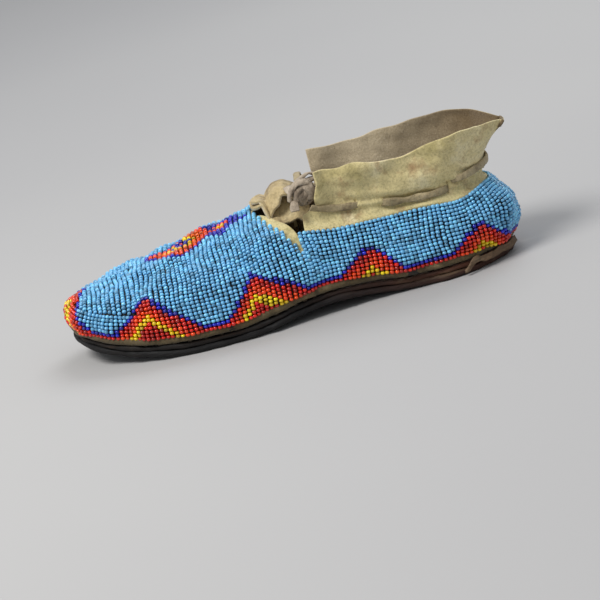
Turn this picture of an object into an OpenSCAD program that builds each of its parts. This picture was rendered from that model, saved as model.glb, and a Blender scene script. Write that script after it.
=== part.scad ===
// Hard-soled, fully beaded hide moccasin for the left foot, with a laced ankle collar and a fold-over tongue.
// The sole rests on z = 0 with the toe towards -Y. +X is the outer (lateral) side of the foot.

/* [Sole] */
// Length of the sole along the foot
sole_len = 231; // [222:1:240]
// Reach of the sole from the centre line to the outer side at the ball
ball_outer = 44.5; // [42:0.5:46]
// Reach of the sole from the centre line to the inner side at the ball
ball_inner = 42.5; // [41:0.5:44]
// Half width of the heel
heel_half = 31.5; // [30:0.5:33]
// Thickness of the rawhide outsole
outsole_t = 3.4; // [2.8:0.1:3.6]
// Thickness of the second rawhide ply
midsole_t = 2.8; // [2.4:0.1:3]
// Thickness of the welt strip between the plies and the upper
welt_t = 1.4; // [1:0.1:1.6]
// Radius of the upward curve of the toe
spring_r = 225; // [200:5:260]
// Rise of the arch under the waist
arch_rise = 5; // [0:0.5:6]

/* [Upper] */
// Thickness of the hide of the upper
hide_t = 1.4; // [1.2:0.1:1.6]
// Thickness of the sewn beadwork
bead_t = 1.8; // [1.4:0.1:1.8]
// Height of the instep ridge above the ground at the back of the vamp
instep_z = 51; // [50:0.2:53]
// Rise of the instep ridge for each millimetre towards the ankle
instep_slope = 0.202; // [0.19:0.002:0.23]
// Height of the beadwork border round the toe, along the surface
border_h = 0.56; // [0.5:0.02:0.6]

/* [Ankle] */
// Height of the collar's rim above the ground
rim_z = 72; // [70:0.5:73]
// Height of the front end of the line that each ankle flap folds on
fold_z = 52.1; // [51.9:0.1:52.6]
// Rise of that line for each millimetre towards the heel
fold_slope = 0.22; // [0.2:0.01:0.24]
// Thickness of the collar's hide
collar_t = 1.3; // [1.1:0.1:1.4]
// Width of the lace
lace_w = 4.4; // [4:0.2:4.6]
// Thickness of the lace
lace_t = 1.5; // [1.2:0.1:1.6]

/* [Hidden] */

stack_t = outsole_t + midsole_t + welt_t;
toe_y = -119.4;
heel_y = toe_y + sole_len;
ball_y = -37;
waist_y = 42;
heel_start_y = 68;
waist_half = 33;
toe_x = -5;
spring_y = -52;
arch_from_y = -38;
arch_to_y = 66;
fan_y = -76;
notch_y = 6;
vamp_edge_y = -15;
notch_h = 22;
clear = 0.3;
ridge_x = -2;
cuff_mid_y = 60;
low_z = 39;
lace_z = 49;
hem_h = 3.3;
border_side_v = 0.26;
lane_h = 13.4;
top_gap = 0.6;
skin_gap = 0.3;
beads_from = hide_t + skin_gap;
beads_to = beads_from + bead_t;
collar_front_y = 10;
flap_front_y = 20.5;
flap_back_y = 98;

function mix(a, b, t) = a + (b - a) * t;
function held(t) = min(1, max(0, t));
function ease(t) = let (c = held(t)) c * c * (3 - 2 * c);
function smooth_max(a, b, k) = (a + b + sqrt((a - b) * (a - b) + k * k)) / 2;

// Height of the underside of the sole at y: toe spring, arch and flat heel seat
function base_z(y) = y < spring_y ? spring_r - sqrt(spring_r * spring_r - (spring_y - y) * (spring_y - y))
    : y > arch_from_y && y < arch_to_y
        ? arch_rise * pow(sin(180 * (y - arch_from_y) / (arch_to_y - arch_from_y)), 2) : 0;

// Position along the foot for k from 0 at the toe to 1 at the heel, closer together at the round ends
toe_part = 0.35;
heel_part = 0.8;
function along(k) = k < toe_part ? toe_y + (ball_y - toe_y) * (1 - cos(90 * k / toe_part))
    : k < heel_part ? mix(ball_y, heel_start_y, (k - toe_part) / (heel_part - toe_part))
    : heel_start_y + (heel_y - heel_start_y) * sin(90 * (k - heel_part) / (1 - heel_part));
function k_at(y) = y < ball_y ? toe_part * acos(1 - (y - toe_y) / (ball_y - toe_y)) / 90
    : y < heel_start_y ? mix(toe_part, heel_part, (y - ball_y) / (heel_start_y - ball_y))
    : heel_part + (1 - heel_part) * asin((y - heel_start_y) / (heel_y - heel_start_y)) / 90;

// Outline of the feather line, where the upper meets the sole. side is 1 on the outer side, -1 on the inner.
function reach(side, y) = let (ball = side > 0 ? ball_outer : ball_inner)
    y < ball_y ? side * toe_x
        + (ball - side * toe_x) * pow(max(0, 1 - pow((ball_y - y) / (ball_y - toe_y), 2.3)), 0.48)
    : y < waist_y ? mix(ball, waist_half, ease((y - ball_y) / (waist_y - ball_y)))
    : y < heel_start_y ? mix(waist_half, heel_half, ease((y - waist_y) / (heel_start_y - waist_y)))
    : heel_half * sqrt(max(0, 1 - pow((y - heel_start_y) / (heel_y - heel_start_y), 2)));
// u runs from -1 at the heel, along the inner side, to 0 at the toe and on to 1 at the heel
function edge(u) = let (side = u < 0 ? -1 : 1, y = along(abs(u))) [side * reach(side, y), y];
// Outward direction of that outline in plan
function edge_out(u) = let (e = 0.004, t = edge(min(1, u + e)) - edge(max(-1, u - e))) [t.y, -t.x] / norm(t);

// Top of the sole, where the hide starts
function feather_z(y) = base_z(y) + stack_t;
function ridge_z(y) = instep_z + instep_slope * (y - vamp_edge_y);
// 0 along the sides, rising to 1 at the tip of the toe
function toe_share(y) = ease((fan_y - y) / (fan_y - toe_y));
// Share of the height reached at the share s of the way in from the edge: round at the sides, boxy at the toe
function vault(s, y) = pow(max(0, 1 - pow(1 - s, mix(2.2, 5, toe_share(y)))), mix(0.46, 0.19, toe_share(y)));
function swell(y) = y < 80 ? mix(1.2, 1.6, toe_share(y)) : mix(1.2, 6.6, ease((y - 80) / 30));

// The vamp's inner surface. s runs from 0 at the sole to 1 at the ridge.
function vamp_at(u, s) = let (o = edge(u), y = o.y, b = vault(s, y),
        goal = [ridge_x, smooth_max(y, fan_y, 14)],
        q = mix(o, goal, s) + edge_out(u) * swell(y) * sin(180 * b))
    [q.x, q.y, feather_z(y) + (ridge_z(q.y) - feather_z(y)) * b];
// The same, with its back edge swept forward from the notch to the top of the instep
function cut_share(s) = ease((s - 0.13) / 0.87);
function vamp_cut(u, v) = let (side = u < 0 ? -1 : 1, y = along(abs(u)),
        s = pow(v, mix(2.2, 3.2, toe_share(y))),
        y2 = y - (notch_y - vamp_edge_y) * cut_share(s) * ease((y + 62) / (notch_y + 62)))
    vamp_at(side * k_at(y2), s);

// The quarters' inner surface, h millimetres above the feather line
function dome_in(y, h) = let (b = held(h / (ridge_z(y) - feather_z(y))))
    waist_half * 1.12 * (1 - pow(max(0, 1 - pow(b, 1 / 0.46)), 1 / 2.2));
function wall_in(y, h) = let (t = ease((y - notch_y) / 35))
    mix(dome_in(y, h), mix(5, 3.4, ease((y - 40) / 40)) * pow(h / 26, 2), t)
    - swell(y) * sin(180 * held(h / mix(46, 31, t)));
function wall_at(u, h) = let (o = edge(u), q = o - edge_out(u) * wall_in(o.y, h))
    [q.x, q.y, feather_z(o.y) + h];
function quarter_top(y) = 38.6 + 6.6 * pow(held((60 - y) / 54), 2)
    - 2 * pow(sin(180 * held((y - 70) / (heel_y - 70))), 2);

// The collar's outer surface: on the quarters' inside up to low_z, on its own line from lace_z up
function cuff_heel_y(z) = 109.2 + 13.4 * ease((z - 50) / 21);
function cuff_half(y, z) = (26.1 + 1.6 * ease((z - 52) / 18) - 3.6 * ease((42 - y) / 20))
    * sqrt(max(0, 1 - pow(held((y - cuff_mid_y) / (cuff_heel_y(z) - cuff_mid_y)), 3)));
function round_y(k, end_y) = k < 0.5 ? mix(collar_front_y, cuff_mid_y, 2 * k)
    : cuff_mid_y + (end_y - cuff_mid_y) * sin(180 * (k - 0.5));
function collar_at(side, k, z) = let (lower_y = round_y(k, heel_y), u = side * k_at(lower_y),
        low = wall_at(u, z - feather_z(lower_y)) - clear * [edge_out(u).x, edge_out(u).y, 0],
        y = round_y(k, cuff_heel_y(z)), high = [side * cuff_half(y, z), y, z])
    mix(low, high, ease((z - low_z) / (lace_z - low_z)));
function rim_at(y) = rim_z - 4.5 * ease((y - 104) / 18);
function fold_at(y) = fold_z + fold_slope * (y - flap_front_y);

// A sheet of even thickness between t0 and t1 above the surface f(a, b), with a and b from 0 to 1.
// With folded_tip, the two halves of the edge a = 0 are one line, as at the tip of a toe.
function lifted(f, a, b, t) = let (e = 0.004, a1 = max(a, 2 * e),
        da = f(min(1, a1 + e), b) - f(a1 - e, b), db = f(a1, min(1, b + e)) - f(a1, max(0, b - e)),
        n = cross(da, db)) f(a, b) + n * t / norm(n);
module sheet(f, na, nb, t0, t1, folded_tip = false) {
    first = folded_tip ? nb / 2 : nb;
    m = first + 1 + na * (nb + 1);
    function id(i, j) = i > 0 ? first + 1 + (i - 1) * (nb + 1) + j : folded_tip ? min(j, nb - j) : j;
    points = [for (t = [t1, t0]) for (i = [0:na]) for (j = [0:i > 0 ? nb : first])
        lifted(f, i / na, j / nb, t)];
    rim = concat(folded_tip ? [id(0, 0)] : [for (j = [0:nb]) id(0, j)], [for (i = [1:na]) id(i, nb)],
        [for (j = [1:nb]) id(na, nb - j)], [for (i = [1:na - 1]) id(na - i, 0)]);
    cells = [for (i = [0:na - 1]) for (j = [0:nb - 1])
        [id(i, j), id(i, j + 1), id(i + 1, j), id(i + 1, j + 1)]];
    upper_side = [for (c = cells) for (f3 = [[c[0], c[1], c[2]], [c[1], c[3], c[2]]]) f3];
    lower_side = [for (f3 = upper_side) [m + f3[0], m + f3[2], m + f3[1]]];
    edges = [for (r = [0:len(rim) - 1]) let (p = rim[r], q = rim[(r + 1) % len(rim)])
        for (f3 = [[p, m + q, q], [p, m + p, m + q]]) f3];
    polyhedron(points, concat(upper_side, lower_side, edges), convexity = 8);
}

// Plan of the sole, grown by m beyond the feather line, and a slab that follows the sole's underside
module plan(m, steps = 36) {
    polygon([for (i = [-steps:steps - 1]) let (u = i / steps, q = edge(u) + edge_out(u) * m) q]);
}
module slab(z0, z1, steps = 40) {
    ys = [for (i = [0:steps]) mix(toe_y - 6, heel_y + 6, i / steps)];
    stops = concat([for (y = ys) if (y < arch_to_y) y], [arch_to_y, heel_y + 6]);
    translate([-60, 0, 0]) rotate([90, 0, 90]) linear_extrude(120)
        polygon(concat([for (y = stops) [y, base_z(y) + z0]],
            [for (i = [1:len(stops)]) let (y = stops[len(stops) - i]) [y, base_z(y) + z1]]));
}
module layer(m, z0, z1) {
    intersection() {
        translate([0, 0, -1]) linear_extrude(40) plan(m);
        slab(z0, z1);
    }
}

module outsole() {
    color([0.27, 0.17, 0.1]) layer(1.3, 0, outsole_t);
}
module midsole() {
    color([0.36, 0.21, 0.12]) layer(0.9, outsole_t, outsole_t + midsole_t);
}
module welt() {
    color([0.6, 0.5, 0.36]) difference() {
        layer(-0.2, outsole_t + midsole_t, stack_t);
        translate([0, 0, -2]) linear_extrude(50) plan(-7);
    }
}

// The torn end of the welt, which stands away from the heel on the outer side
module loose_welt_end() {
    from_u = k_at(82);
    to_u = k_at(heel_y - 1);
    color([0.5, 0.38, 0.25]) sheet(function(a, b) let (u = mix(to_u, from_u, a), o = edge(u),
        q = o + edge_out(u) * (3.9 + 1.1 * ease((a - 0.75) / 0.25)))
        [q.x, q.y, base_z(o.y) + mix(2.6, 6.6, b) + 1.5 * ease((a - 0.8) / 0.2)], 16, 3, 0, 1.1);
}

// The turned-out edge of the hide, below the beads, from the inner heel round the toe to the outer heel
function on_hide(u, h) = let (y = edge(u).y) y < notch_y
    ? let (b = h / (ridge_z(y) - feather_z(y)), s = 1 - pow(1 - pow(b, 1 / mix(0.46, 0.19, toe_share(y))),
        1 / mix(2.2, 5, toe_share(y)))) vamp_at(u, s)
    : wall_at(u, h);
module sole_hem() {
    color([0.62, 0.55, 0.4]) sheet(function(a, b) on_hide(mix(0.994, -0.994, a), mix(0.1, hem_h, b)), 96, 2,
        beads_from, beads_from + 1.2);
}
module sole_stitches() {
    count = 88;
    color([0.75, 0.68, 0.52]) for (i = [0:count - 1]) {
        u = mix(-0.985, 0.985, i / (count - 1));
        q = edge(u) + edge_out(u) * 0.3;
        turn = atan2(edge_out(u).y, edge_out(u).x);
        translate([q.x, q.y, base_z(q.y) + outsole_t + midsole_t + 0.55]) rotate([90, 0, turn])
            cylinder(h = 2.6, d = 0.8, center = true, $fn = 6);
    }
}

// The hide of the upper: a vamp over the toes and instep, and two quarters that meet at the heel
notch_u = k_at(notch_y);
function border_v(u) = mix(border_side_v, border_h, toe_share(edge(u).y));
function across(a, b, from_v) = let (u = (b < 0.5 ? 1 : -1) * a * notch_u)
    vamp_cut(u, mix(from_v(u), 1, 1 - abs(2 * b - 1)));
module vamp() {
    color([0.7, 0.63, 0.48]) sheet(function(a, b) across(a, b, function(u) 0), 22, 20, 0, hide_t,
        folded_tip = true);
}
module quarter(side, h0, h1, t0, t1, na, nb) {
    front_y = notch_y + 0.6 + 0.5 * t0;
    function front_cut(h) = 2.4 * ease((h - notch_h) / 20);
    first = side > 0 ? 0 : 1;
    sheet(function(a, b) let (share = abs(a - first), k = mix(k_at(front_y), 0.998, share),
        y = edge(side * k).y, top = (h1 < 0 ? quarter_top(y) - feather_z(y) + h1 : h1), h = mix(h0, top, b),
        k2 = k + (k_at(front_y + front_cut(h)) - k_at(front_y)) * (1 - share))
        wall_at(side * k2, h), na, nb, t0, t1);
}
module lateral_quarter() {
    color([0.7, 0.63, 0.48]) quarter(1, 0, -0.01, 0, hide_t, 20, 7);
}
module medial_quarter() {
    color([0.7, 0.63, 0.48]) quarter(-1, 0, -0.01, 0, hide_t, 20, 7);
}
module heel_seam_stitches() {
    // The heel lace passes between the lower and the upper stitches
    color([0.75, 0.68, 0.52]) for (z = [41.5, 44.5, 54.5, 58, 61.5, 65])
        translate([0, max(cuff_heel_y(z), collar_at(1, 1, z).y) + 0.45, z]) rotate([0, 90, 0])
            cylinder(h = 4, d = 0.9, center = true, $fn = 6);
}

// Beadwork, as even layers of sewn beads on the hide
module toe_border_beadwork() {
    color([0.8, 0.15, 0.08]) sheet(function(a, b) let (u = mix(notch_u, -notch_u, a), w = hem_share(u))
        vamp_cut(u, mix(w, border_v(u), b)), 56, 5, beads_from, beads_to);
}
function hem_share(u) = mix(0.1, 0.17, toe_share(edge(u).y));
module vamp_beadwork() {
    color([0.25, 0.62, 0.78]) sheet(function(a, b) across(a, b, function(u) border_v(u) + 0.01), 20, 18,
        beads_from, beads_to, folded_tip = true);
}
module lateral_lower_beadwork() {
    color([0.85, 0.25, 0.1]) quarter(1, hem_h + 0.2, lane_h, beads_from, beads_to, 18, 3);
}
module lateral_upper_beadwork() {
    color([0.3, 0.66, 0.8]) quarter(1, lane_h + 0.2, -top_gap, beads_from, beads_to, 18, 4);
}
module medial_lower_beadwork() {
    color([0.85, 0.25, 0.1]) quarter(-1, hem_h + 0.2, lane_h, beads_from, beads_to, 18, 3);
}
module medial_upper_beadwork() {
    color([0.3, 0.66, 0.8]) quarter(-1, lane_h + 0.2, -top_gap, beads_from, beads_to, 18, 4);
}

// The tongue, sewn at the top of the vamp, with its lip lying forward over the beads
tongue_front_y = -16.5;
tongue_back_y = 27;
tongue_lift = 4.4;
function instep_at(x, y) = let (s = 1 - held(abs(x - ridge_x) / (reach(x < ridge_x ? -1 : 1, y) - 1)))
    [x, y, feather_z(y) + (ridge_z(y) - feather_z(y)) * vault(s, y)];
function tongue_half(y) = mix(18.5, 12.5, ease((y + 2) / 13)) * (1 - 0.35 * pow(held((-10 - y) / 7), 2));
module tongue() {
    color([0.66, 0.6, 0.46]) sheet(function(a, b) let (y = mix(tongue_front_y, tongue_back_y, a))
        instep_at(ridge_x + tongue_half(y) * (1 - 2 * b), y), 16, 10, tongue_lift, tongue_lift + 1.4);
}

// The collar: one half on each side, joined at the heel, with an ankle flap above the slanting fold line
module collar(side) {
    function top_at(y) = min(rim_at(y), fold_at(y) - clear);
    function top_of(k) = top_at(round_y(k, cuff_heel_y(top_at(round_y(k, heel_y + 8)))));
    function z_at(k, b) = mix(quarter_top(round_y(k, heel_y)) - 4.5, top_of(k), b);
    color([0.72, 0.68, 0.54]) sheet(function(a, b) let (k = side > 0 ? a * 0.999 : (1 - a) * 0.999)
        collar_at(side, k, z_at(k, b)), 24, 8, -collar_t, 0);
}
module lateral_collar() {
    collar(1);
}
module medial_collar() {
    collar(-1);
}
module ankle_flap(side) {
    color([0.72, 0.68, 0.54]) sheet(function(a, b)
        let (y = mix(flap_front_y, flap_back_y, side > 0 ? a : 1 - a),
            z = mix(fold_at(y) + clear, rim_at(y), b))
        [side * cuff_half(y, z), y, z], 18, 5, -collar_t, 0);
}
module lateral_ankle_flap() {
    ankle_flap(1);
}
module medial_ankle_flap() {
    ankle_flap(-1);
}
module collar_stitches() {
    count = 26;
    color([0.75, 0.68, 0.52]) for (side = [-1, 1]) for (i = [0:count - 1]) {
        k = mix(0.03, 0.97, i / (count - 1));
        q = collar_at(side, k, quarter_top(round_y(k, heel_y)) + 0.8);
        out = edge_out(side * k_at(round_y(k, heel_y)));
        translate(q + 0.4 * [out.x, out.y, 0]) cylinder(h = 2.4, d = 0.8, center = true, $fn = 6);
    }
}

// The lace: one flat thong threaded in and out of the collar, tied in front.
// Each row is the place along the foot, the height and the distance out from the collar's face.
lace_side_route = [[15, 54, 1.8], [18.5, 52.2, 1.6], [22, 51.2, 1.4], [26.5, 50.2, 1.2], [31, 49.4, 1],
    [35, 49, 0.6], [37.5, 48.6, -0.7], [40, 48.2, -2.3],
    [45, 47.4, -2.5], [50, 46.6, -2.3], [52.5, 46.2, -0.7], [55, 45.8, 0.8], [62, 45, 1.1], [70, 44.4, 1.2],
    [78, 44, 1.1], [84, 44, 0.8], [86.5, 44.2, -0.7], [89, 44.6, -2.3], [92, 45.4, -2.4], [95, 46.6, -2.3]];
lace_knot_at = [21, 12, 58.5];
// The inner side's thong goes on over the tongue to the knot
lace_cross_route = [[15.5, 12.5, 61.6], [8, 12.5, 64.4], [-2, 12.5, 65.2], [-12, 13, 63.8], [-19, 13.6, 60],
    [-23, 14.4, 56.4]];
function collar_k(y) = y < cuff_mid_y ? 0.5 * (y - collar_front_y) / (cuff_mid_y - collar_front_y)
    : 0.5 + asin(held((y - cuff_mid_y) / (heel_y - cuff_mid_y))) / 180;
function off_collar(side, y, z, t) = let (k = collar_k(y), e = 0.01, p = collar_at(side, k, z),
        d = collar_at(side, k + e, z) - p, n = side * [d.y, -d.x, 0] / norm([d.x, d.y])) [p + n * t, n];
// route is a list of [place, outward direction]
module strap(route, w = lace_w, t = lace_t) {
    n = len(route);
    rings = [for (i = [0:n - 1]) let (p = route[i][0], out = route[i][1],
        d = route[min(n - 1, i + 1)][0] - route[max(0, i - 1)][0], side = cross(out, d) / norm(cross(out, d)),
        up = cross(d, side) / norm(cross(d, side)))
        for (c = [[-1, -1], [1, -1], [1, 1], [-1, 1]]) p + side * c[0] * w / 2 + up * c[1] * t / 2];
    polyhedron(rings, concat([[3, 2, 1, 0]], [[for (c = [0:3]) 4 * (n - 1) + c]],
        [for (i = [0:n - 2]) for (c = [0:3]) let (p = 4 * i + c, q = 4 * i + (c + 1) % 4)
            for (f3 = [[p, q, q + 4], [p, q + 4, p + 4]]) f3]), convexity = 8);
}
module side_lace(side, first_stretch = []) {
    color([0.6, 0.54, 0.4]) strap(concat(first_stretch,
        [for (r = lace_side_route) off_collar(side, r[0], r[1], r[2])]));
}
module lateral_lace() {
    side_lace(1);
}
module medial_lace() {
    side_lace(-1, [for (p = lace_cross_route) [p, [p.x / 20, 0, 1]]]);
}
module heel_lace() {
    steps = 16;
    color([0.6, 0.54, 0.4]) strap([for (i = [0:steps]) let (a = 2 * i / steps - 1,
        side = a < 0 ? 1 : -1, k = 1 - 0.3 * abs(a),
        z = mix(50, 47.6, a * a), p = collar_at(side, k, z), out = [sin(-a * 62), cos(a * 62), 0])
        [p + out * 1.3, out]]);
}
module lace_knot() {
    color([0.58, 0.5, 0.36]) translate(lace_knot_at) {
        hull() for (x = [-3, 3]) translate([x * 0.6, x, -x * 0.4]) sphere(r = 3, $fn = 24);
        hull() for (x = [-3.4, 3.4]) translate([-x * 0.5, x * 0.6, x]) sphere(r = 2.4, $fn = 24);
        rotate([70, 20, 30]) rotate_extrude($fn = 32) translate([3.4, 0]) circle(d = 3.2, $fn = 16);
    }
}
lace_end_routes = [
    [[23.5, 8, 58.5], [26.5, 7.4, 57], [29, 7, 54.5], [30.6, 6.8, 51.5], [31.4, 6.6, 48.5]],
    [[18, 8, 61.5], [12.5, 6.2, 63.4], [7, 5.4, 64.2], [2, 5.8, 64]]];
module lace_ends() {
    color([0.58, 0.5, 0.36]) for (route = lace_end_routes)
        strap([for (p = route) [p, [p.x / 40, 0, 1]]]);
}

outsole();
midsole();
welt();
loose_welt_end();
sole_hem();
sole_stitches();
vamp();
lateral_quarter();
medial_quarter();
heel_seam_stitches();
toe_border_beadwork();
vamp_beadwork();
lateral_lower_beadwork();
lateral_upper_beadwork();
medial_lower_beadwork();
medial_upper_beadwork();
tongue();
lateral_collar();
medial_collar();
lateral_ankle_flap();
medial_ankle_flap();
collar_stitches();
lateral_lace();
medial_lace();
heel_lace();
lace_knot();
lace_ends();
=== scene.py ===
"""The looks of a hard-soled, fully beaded hide moccasin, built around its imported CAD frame.

Shapes are worked out in millimetres and go into Blender in metres. The axes are the frame's: the toe points
towards -Y, +X is the outer side of the foot and +Z is up.
"""

import math

import bmesh
import bpy
import numpy as np
from mathutils import Matrix, Vector


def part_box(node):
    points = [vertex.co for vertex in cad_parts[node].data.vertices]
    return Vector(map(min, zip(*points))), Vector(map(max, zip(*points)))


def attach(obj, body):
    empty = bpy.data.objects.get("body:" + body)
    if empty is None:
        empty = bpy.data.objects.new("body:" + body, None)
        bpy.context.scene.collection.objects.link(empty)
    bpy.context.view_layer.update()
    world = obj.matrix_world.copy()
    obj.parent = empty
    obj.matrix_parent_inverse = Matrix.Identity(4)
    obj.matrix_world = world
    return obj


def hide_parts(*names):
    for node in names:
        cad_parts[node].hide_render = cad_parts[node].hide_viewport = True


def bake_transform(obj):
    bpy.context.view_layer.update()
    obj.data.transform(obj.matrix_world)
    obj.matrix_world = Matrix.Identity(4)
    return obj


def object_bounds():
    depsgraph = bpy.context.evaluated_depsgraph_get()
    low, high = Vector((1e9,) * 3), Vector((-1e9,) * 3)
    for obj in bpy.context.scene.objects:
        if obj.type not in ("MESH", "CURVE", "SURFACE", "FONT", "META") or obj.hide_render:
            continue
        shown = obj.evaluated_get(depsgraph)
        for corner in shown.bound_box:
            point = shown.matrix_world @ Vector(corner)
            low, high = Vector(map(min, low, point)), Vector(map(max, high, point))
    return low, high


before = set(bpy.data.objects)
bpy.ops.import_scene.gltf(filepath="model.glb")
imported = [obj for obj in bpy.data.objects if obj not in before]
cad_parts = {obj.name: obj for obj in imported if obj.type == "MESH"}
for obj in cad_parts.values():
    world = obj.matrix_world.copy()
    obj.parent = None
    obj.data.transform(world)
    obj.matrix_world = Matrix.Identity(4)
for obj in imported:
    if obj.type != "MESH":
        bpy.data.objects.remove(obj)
cad_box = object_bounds()
MM = 0.001
SIDES = ((1, "lateral"), (-1, "medial"))

# The driving sizes of the CAD model, in millimetres
SOLE_LOW, SOLE_HIGH = [np.array(corner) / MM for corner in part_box("outsole")]
SOLE_EDGE = 1.3  # how far the outsole stands out from the feather line
TOE_Y, HEEL_Y = SOLE_LOW[1] + SOLE_EDGE, SOLE_HIGH[1] - SOLE_EDGE
BALL_OUTER, BALL_INNER = SOLE_HIGH[0] - SOLE_EDGE, -SOLE_LOW[0] - SOLE_EDGE
HEEL_HALF, WAIST_HALF = 31.5, 33.0
OUTSOLE_T, MIDSOLE_T, WELT_T = 3.4, 2.8, 1.4
STACK_T = OUTSOLE_T + MIDSOLE_T + WELT_T
SPRING_R, SPRING_Y = 225.0, -52.0
ARCH_RISE, ARCH_FROM_Y, ARCH_TO_Y = 5.0, -38.0, 66.0
HIDE_T, COLLAR_T = 1.4, 1.3
INSTEP_Z, INSTEP_SLOPE = 51.0, 0.202
BALL_Y, WAIST_Y, HEEL_START_Y = -37.0, 42.0, 68.0
TOE_X, RIDGE_X, FAN_Y = -5.0, -2.0, -76.0
NOTCH_Y, VAMP_EDGE_Y, NOTCH_H = 6.0, -15.0, 22.0
NOTCH_S = 0.09  # the notch's foot, as a share of the way in from the edge
RIM_Z, FOLD_SLOPE = 72.0, 0.22  # the collar's rim, and the slant of the line on which its flaps fold
CUFF_MID_Y, LOW_Z, LACE_Z = 60.0, 39.0, 49.0
COLLAR_FRONT_Y, FLAP_FRONT_Y = 10.0, 20.5
SEAM_Y = NOTCH_Y + 0.2  # where the vamp's threads end and the quarters' begin
HEM_H = 3.3
LACE_W, LACE_T = 4.4, 1.5
TOE_PART, HEEL_PART = 0.35, 0.8  # values of k at the ball and where the heel's curve starts

# The beads
BEAD_ACROSS = 2.35  # from thread to thread
BEAD_ALONG = 1.92  # from bead to bead on a thread
BEAD_LIFT = 2.5  # height of a bead's centre above the inside of the hide
LANE_BEADS = 7
LANE = LANE_BEADS * BEAD_ALONG
FIRST_BEAD = HEM_H - 0.5  # height above the feather line at which the beads start
END_GAP = 0.4  # bare thread left at the end of a row
TOE_COLUMNS_Y = -84.0  # in front of this, the border's threads fan out round the toe
TOE_TOP_ROWS = 18  # threads across the top of the toe
SHORTEST_ROW = 8  # grid columns a row must cross to carry beads
OFF_THE_RIDGE = 99.0  # a distance from the ridge too great for the figure on the instep


# ---------------------------------------------------------------- shape, as in the CAD model
def mix(a, b, t):
    return a + (b - a) * t


def ease(t):
    c = np.clip(t, 0, 1)
    return c * c * (3 - 2 * c)


def bell(t):
    return np.exp(-(t**2))


def smooth_max(a, b, k):
    return (a + b + np.sqrt((a - b) ** 2 + k * k)) / 2


def base_z(y):
    """Height of the sole's underside: it springs up at the toe and arches behind the ball."""
    rise = SPRING_R - np.sqrt(SPRING_R**2 - np.clip(SPRING_Y - y, 0, 200) ** 2)
    inside = (y > ARCH_FROM_Y) & (y < ARCH_TO_Y)
    arch = ARCH_RISE * np.sin(np.pi * (y - ARCH_FROM_Y) / (ARCH_TO_Y - ARCH_FROM_Y)) ** 2
    return rise + np.where(inside, arch, 0)


def along(k):
    """The y of a place k, which runs from 0 at the toe to 1 at the heel."""
    toe = TOE_Y + (BALL_Y - TOE_Y) * (1 - np.cos(np.pi / 2 * np.clip(k / TOE_PART, 0, 1)))
    middle = mix(BALL_Y, HEEL_START_Y, (k - TOE_PART) / (HEEL_PART - TOE_PART))
    turn = np.clip((k - HEEL_PART) / (1 - HEEL_PART), 0, 1)
    heel = HEEL_START_Y + (HEEL_Y - HEEL_START_Y) * np.sin(np.pi / 2 * turn)
    return np.where(k < TOE_PART, toe, np.where(k < HEEL_PART, middle, heel))


def k_at(y):
    toe = TOE_PART * np.arccos(np.clip(1 - (y - TOE_Y) / (BALL_Y - TOE_Y), -1, 1)) / (np.pi / 2)
    middle = mix(TOE_PART, HEEL_PART, (y - BALL_Y) / (HEEL_START_Y - BALL_Y))
    heel_share = np.clip((y - HEEL_START_Y) / (HEEL_Y - HEEL_START_Y), 0, 1)
    heel = HEEL_PART + (1 - HEEL_PART) * np.arcsin(heel_share) / (np.pi / 2)
    return np.where(y < BALL_Y, toe, np.where(y < HEEL_START_Y, middle, heel))


def reach(side, y):
    """How far out the feather line lies on this side."""
    ball = np.where(side > 0, BALL_OUTER, BALL_INNER)
    toe_share_y = np.clip((BALL_Y - y) / (BALL_Y - TOE_Y), 0, 1)
    toe = (ball - side * TOE_X) * (1 - toe_share_y**2.3) ** 0.48 + side * TOE_X
    waist = mix(ball, WAIST_HALF, ease((y - BALL_Y) / (WAIST_Y - BALL_Y)))
    back = mix(WAIST_HALF, HEEL_HALF, ease((y - WAIST_Y) / (HEEL_START_Y - WAIST_Y)))
    heel = HEEL_HALF * np.sqrt(1 - np.clip((y - HEEL_START_Y) / (HEEL_Y - HEEL_START_Y), 0, 1) ** 2)
    rear = np.where(y < HEEL_START_Y, back, heel)
    return np.where(y < BALL_Y, toe, np.where(y < WAIST_Y, waist, rear))


def edge(u):
    """The feather line: u is -1 at the heel, goes along the inner side to 0 at the toe, and back to 1."""
    side, y = np.where(u < 0, -1.0, 1.0), along(np.abs(u))
    return np.stack([side * reach(side, y), y], -1)


def edge_out(u):
    """The direction straight out from the feather line."""
    step = 0.004
    t = edge(np.minimum(1, u + step)) - edge(np.maximum(-1, u - step))
    t /= np.linalg.norm(t, axis=-1, keepdims=True)
    return np.stack([t[..., 1], -t[..., 0]], -1)


def feather_z(y):
    return base_z(y) + STACK_T


def ridge_z(y):
    return INSTEP_Z + INSTEP_SLOPE * (y - VAMP_EDGE_Y)


def toe_share(y):
    return ease((FAN_Y - y) / (FAN_Y - TOE_Y))


def vault(s, y):
    w = toe_share(y)
    return np.clip(1 - (1 - s) ** mix(2.2, 5, w), 0, 1) ** mix(0.46, 0.19, w)


def swell(y):
    return np.where(y < 80, mix(1.2, 1.6, toe_share(y)), mix(1.2, 6.6, ease((y - 80) / 30)))


def vamp_at(u, s):
    """The vamp's inside, at share s of the way in from the edge to the ridge."""
    o, out = edge(u), edge_out(u)
    y = o[..., 1]
    b = vault(s, y)
    w = swell(y) * np.sin(np.pi * b)
    qx = mix(o[..., 0], RIDGE_X, s) + out[..., 0] * w
    qy = mix(y, smooth_max(y, FAN_Y, 14), s) + out[..., 1] * w
    return np.stack([qx, qy, feather_z(y) + (ridge_z(qy) - feather_z(y)) * b], -1)


def cut_share(s):
    return ease((s - 0.13) / 0.87)


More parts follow.
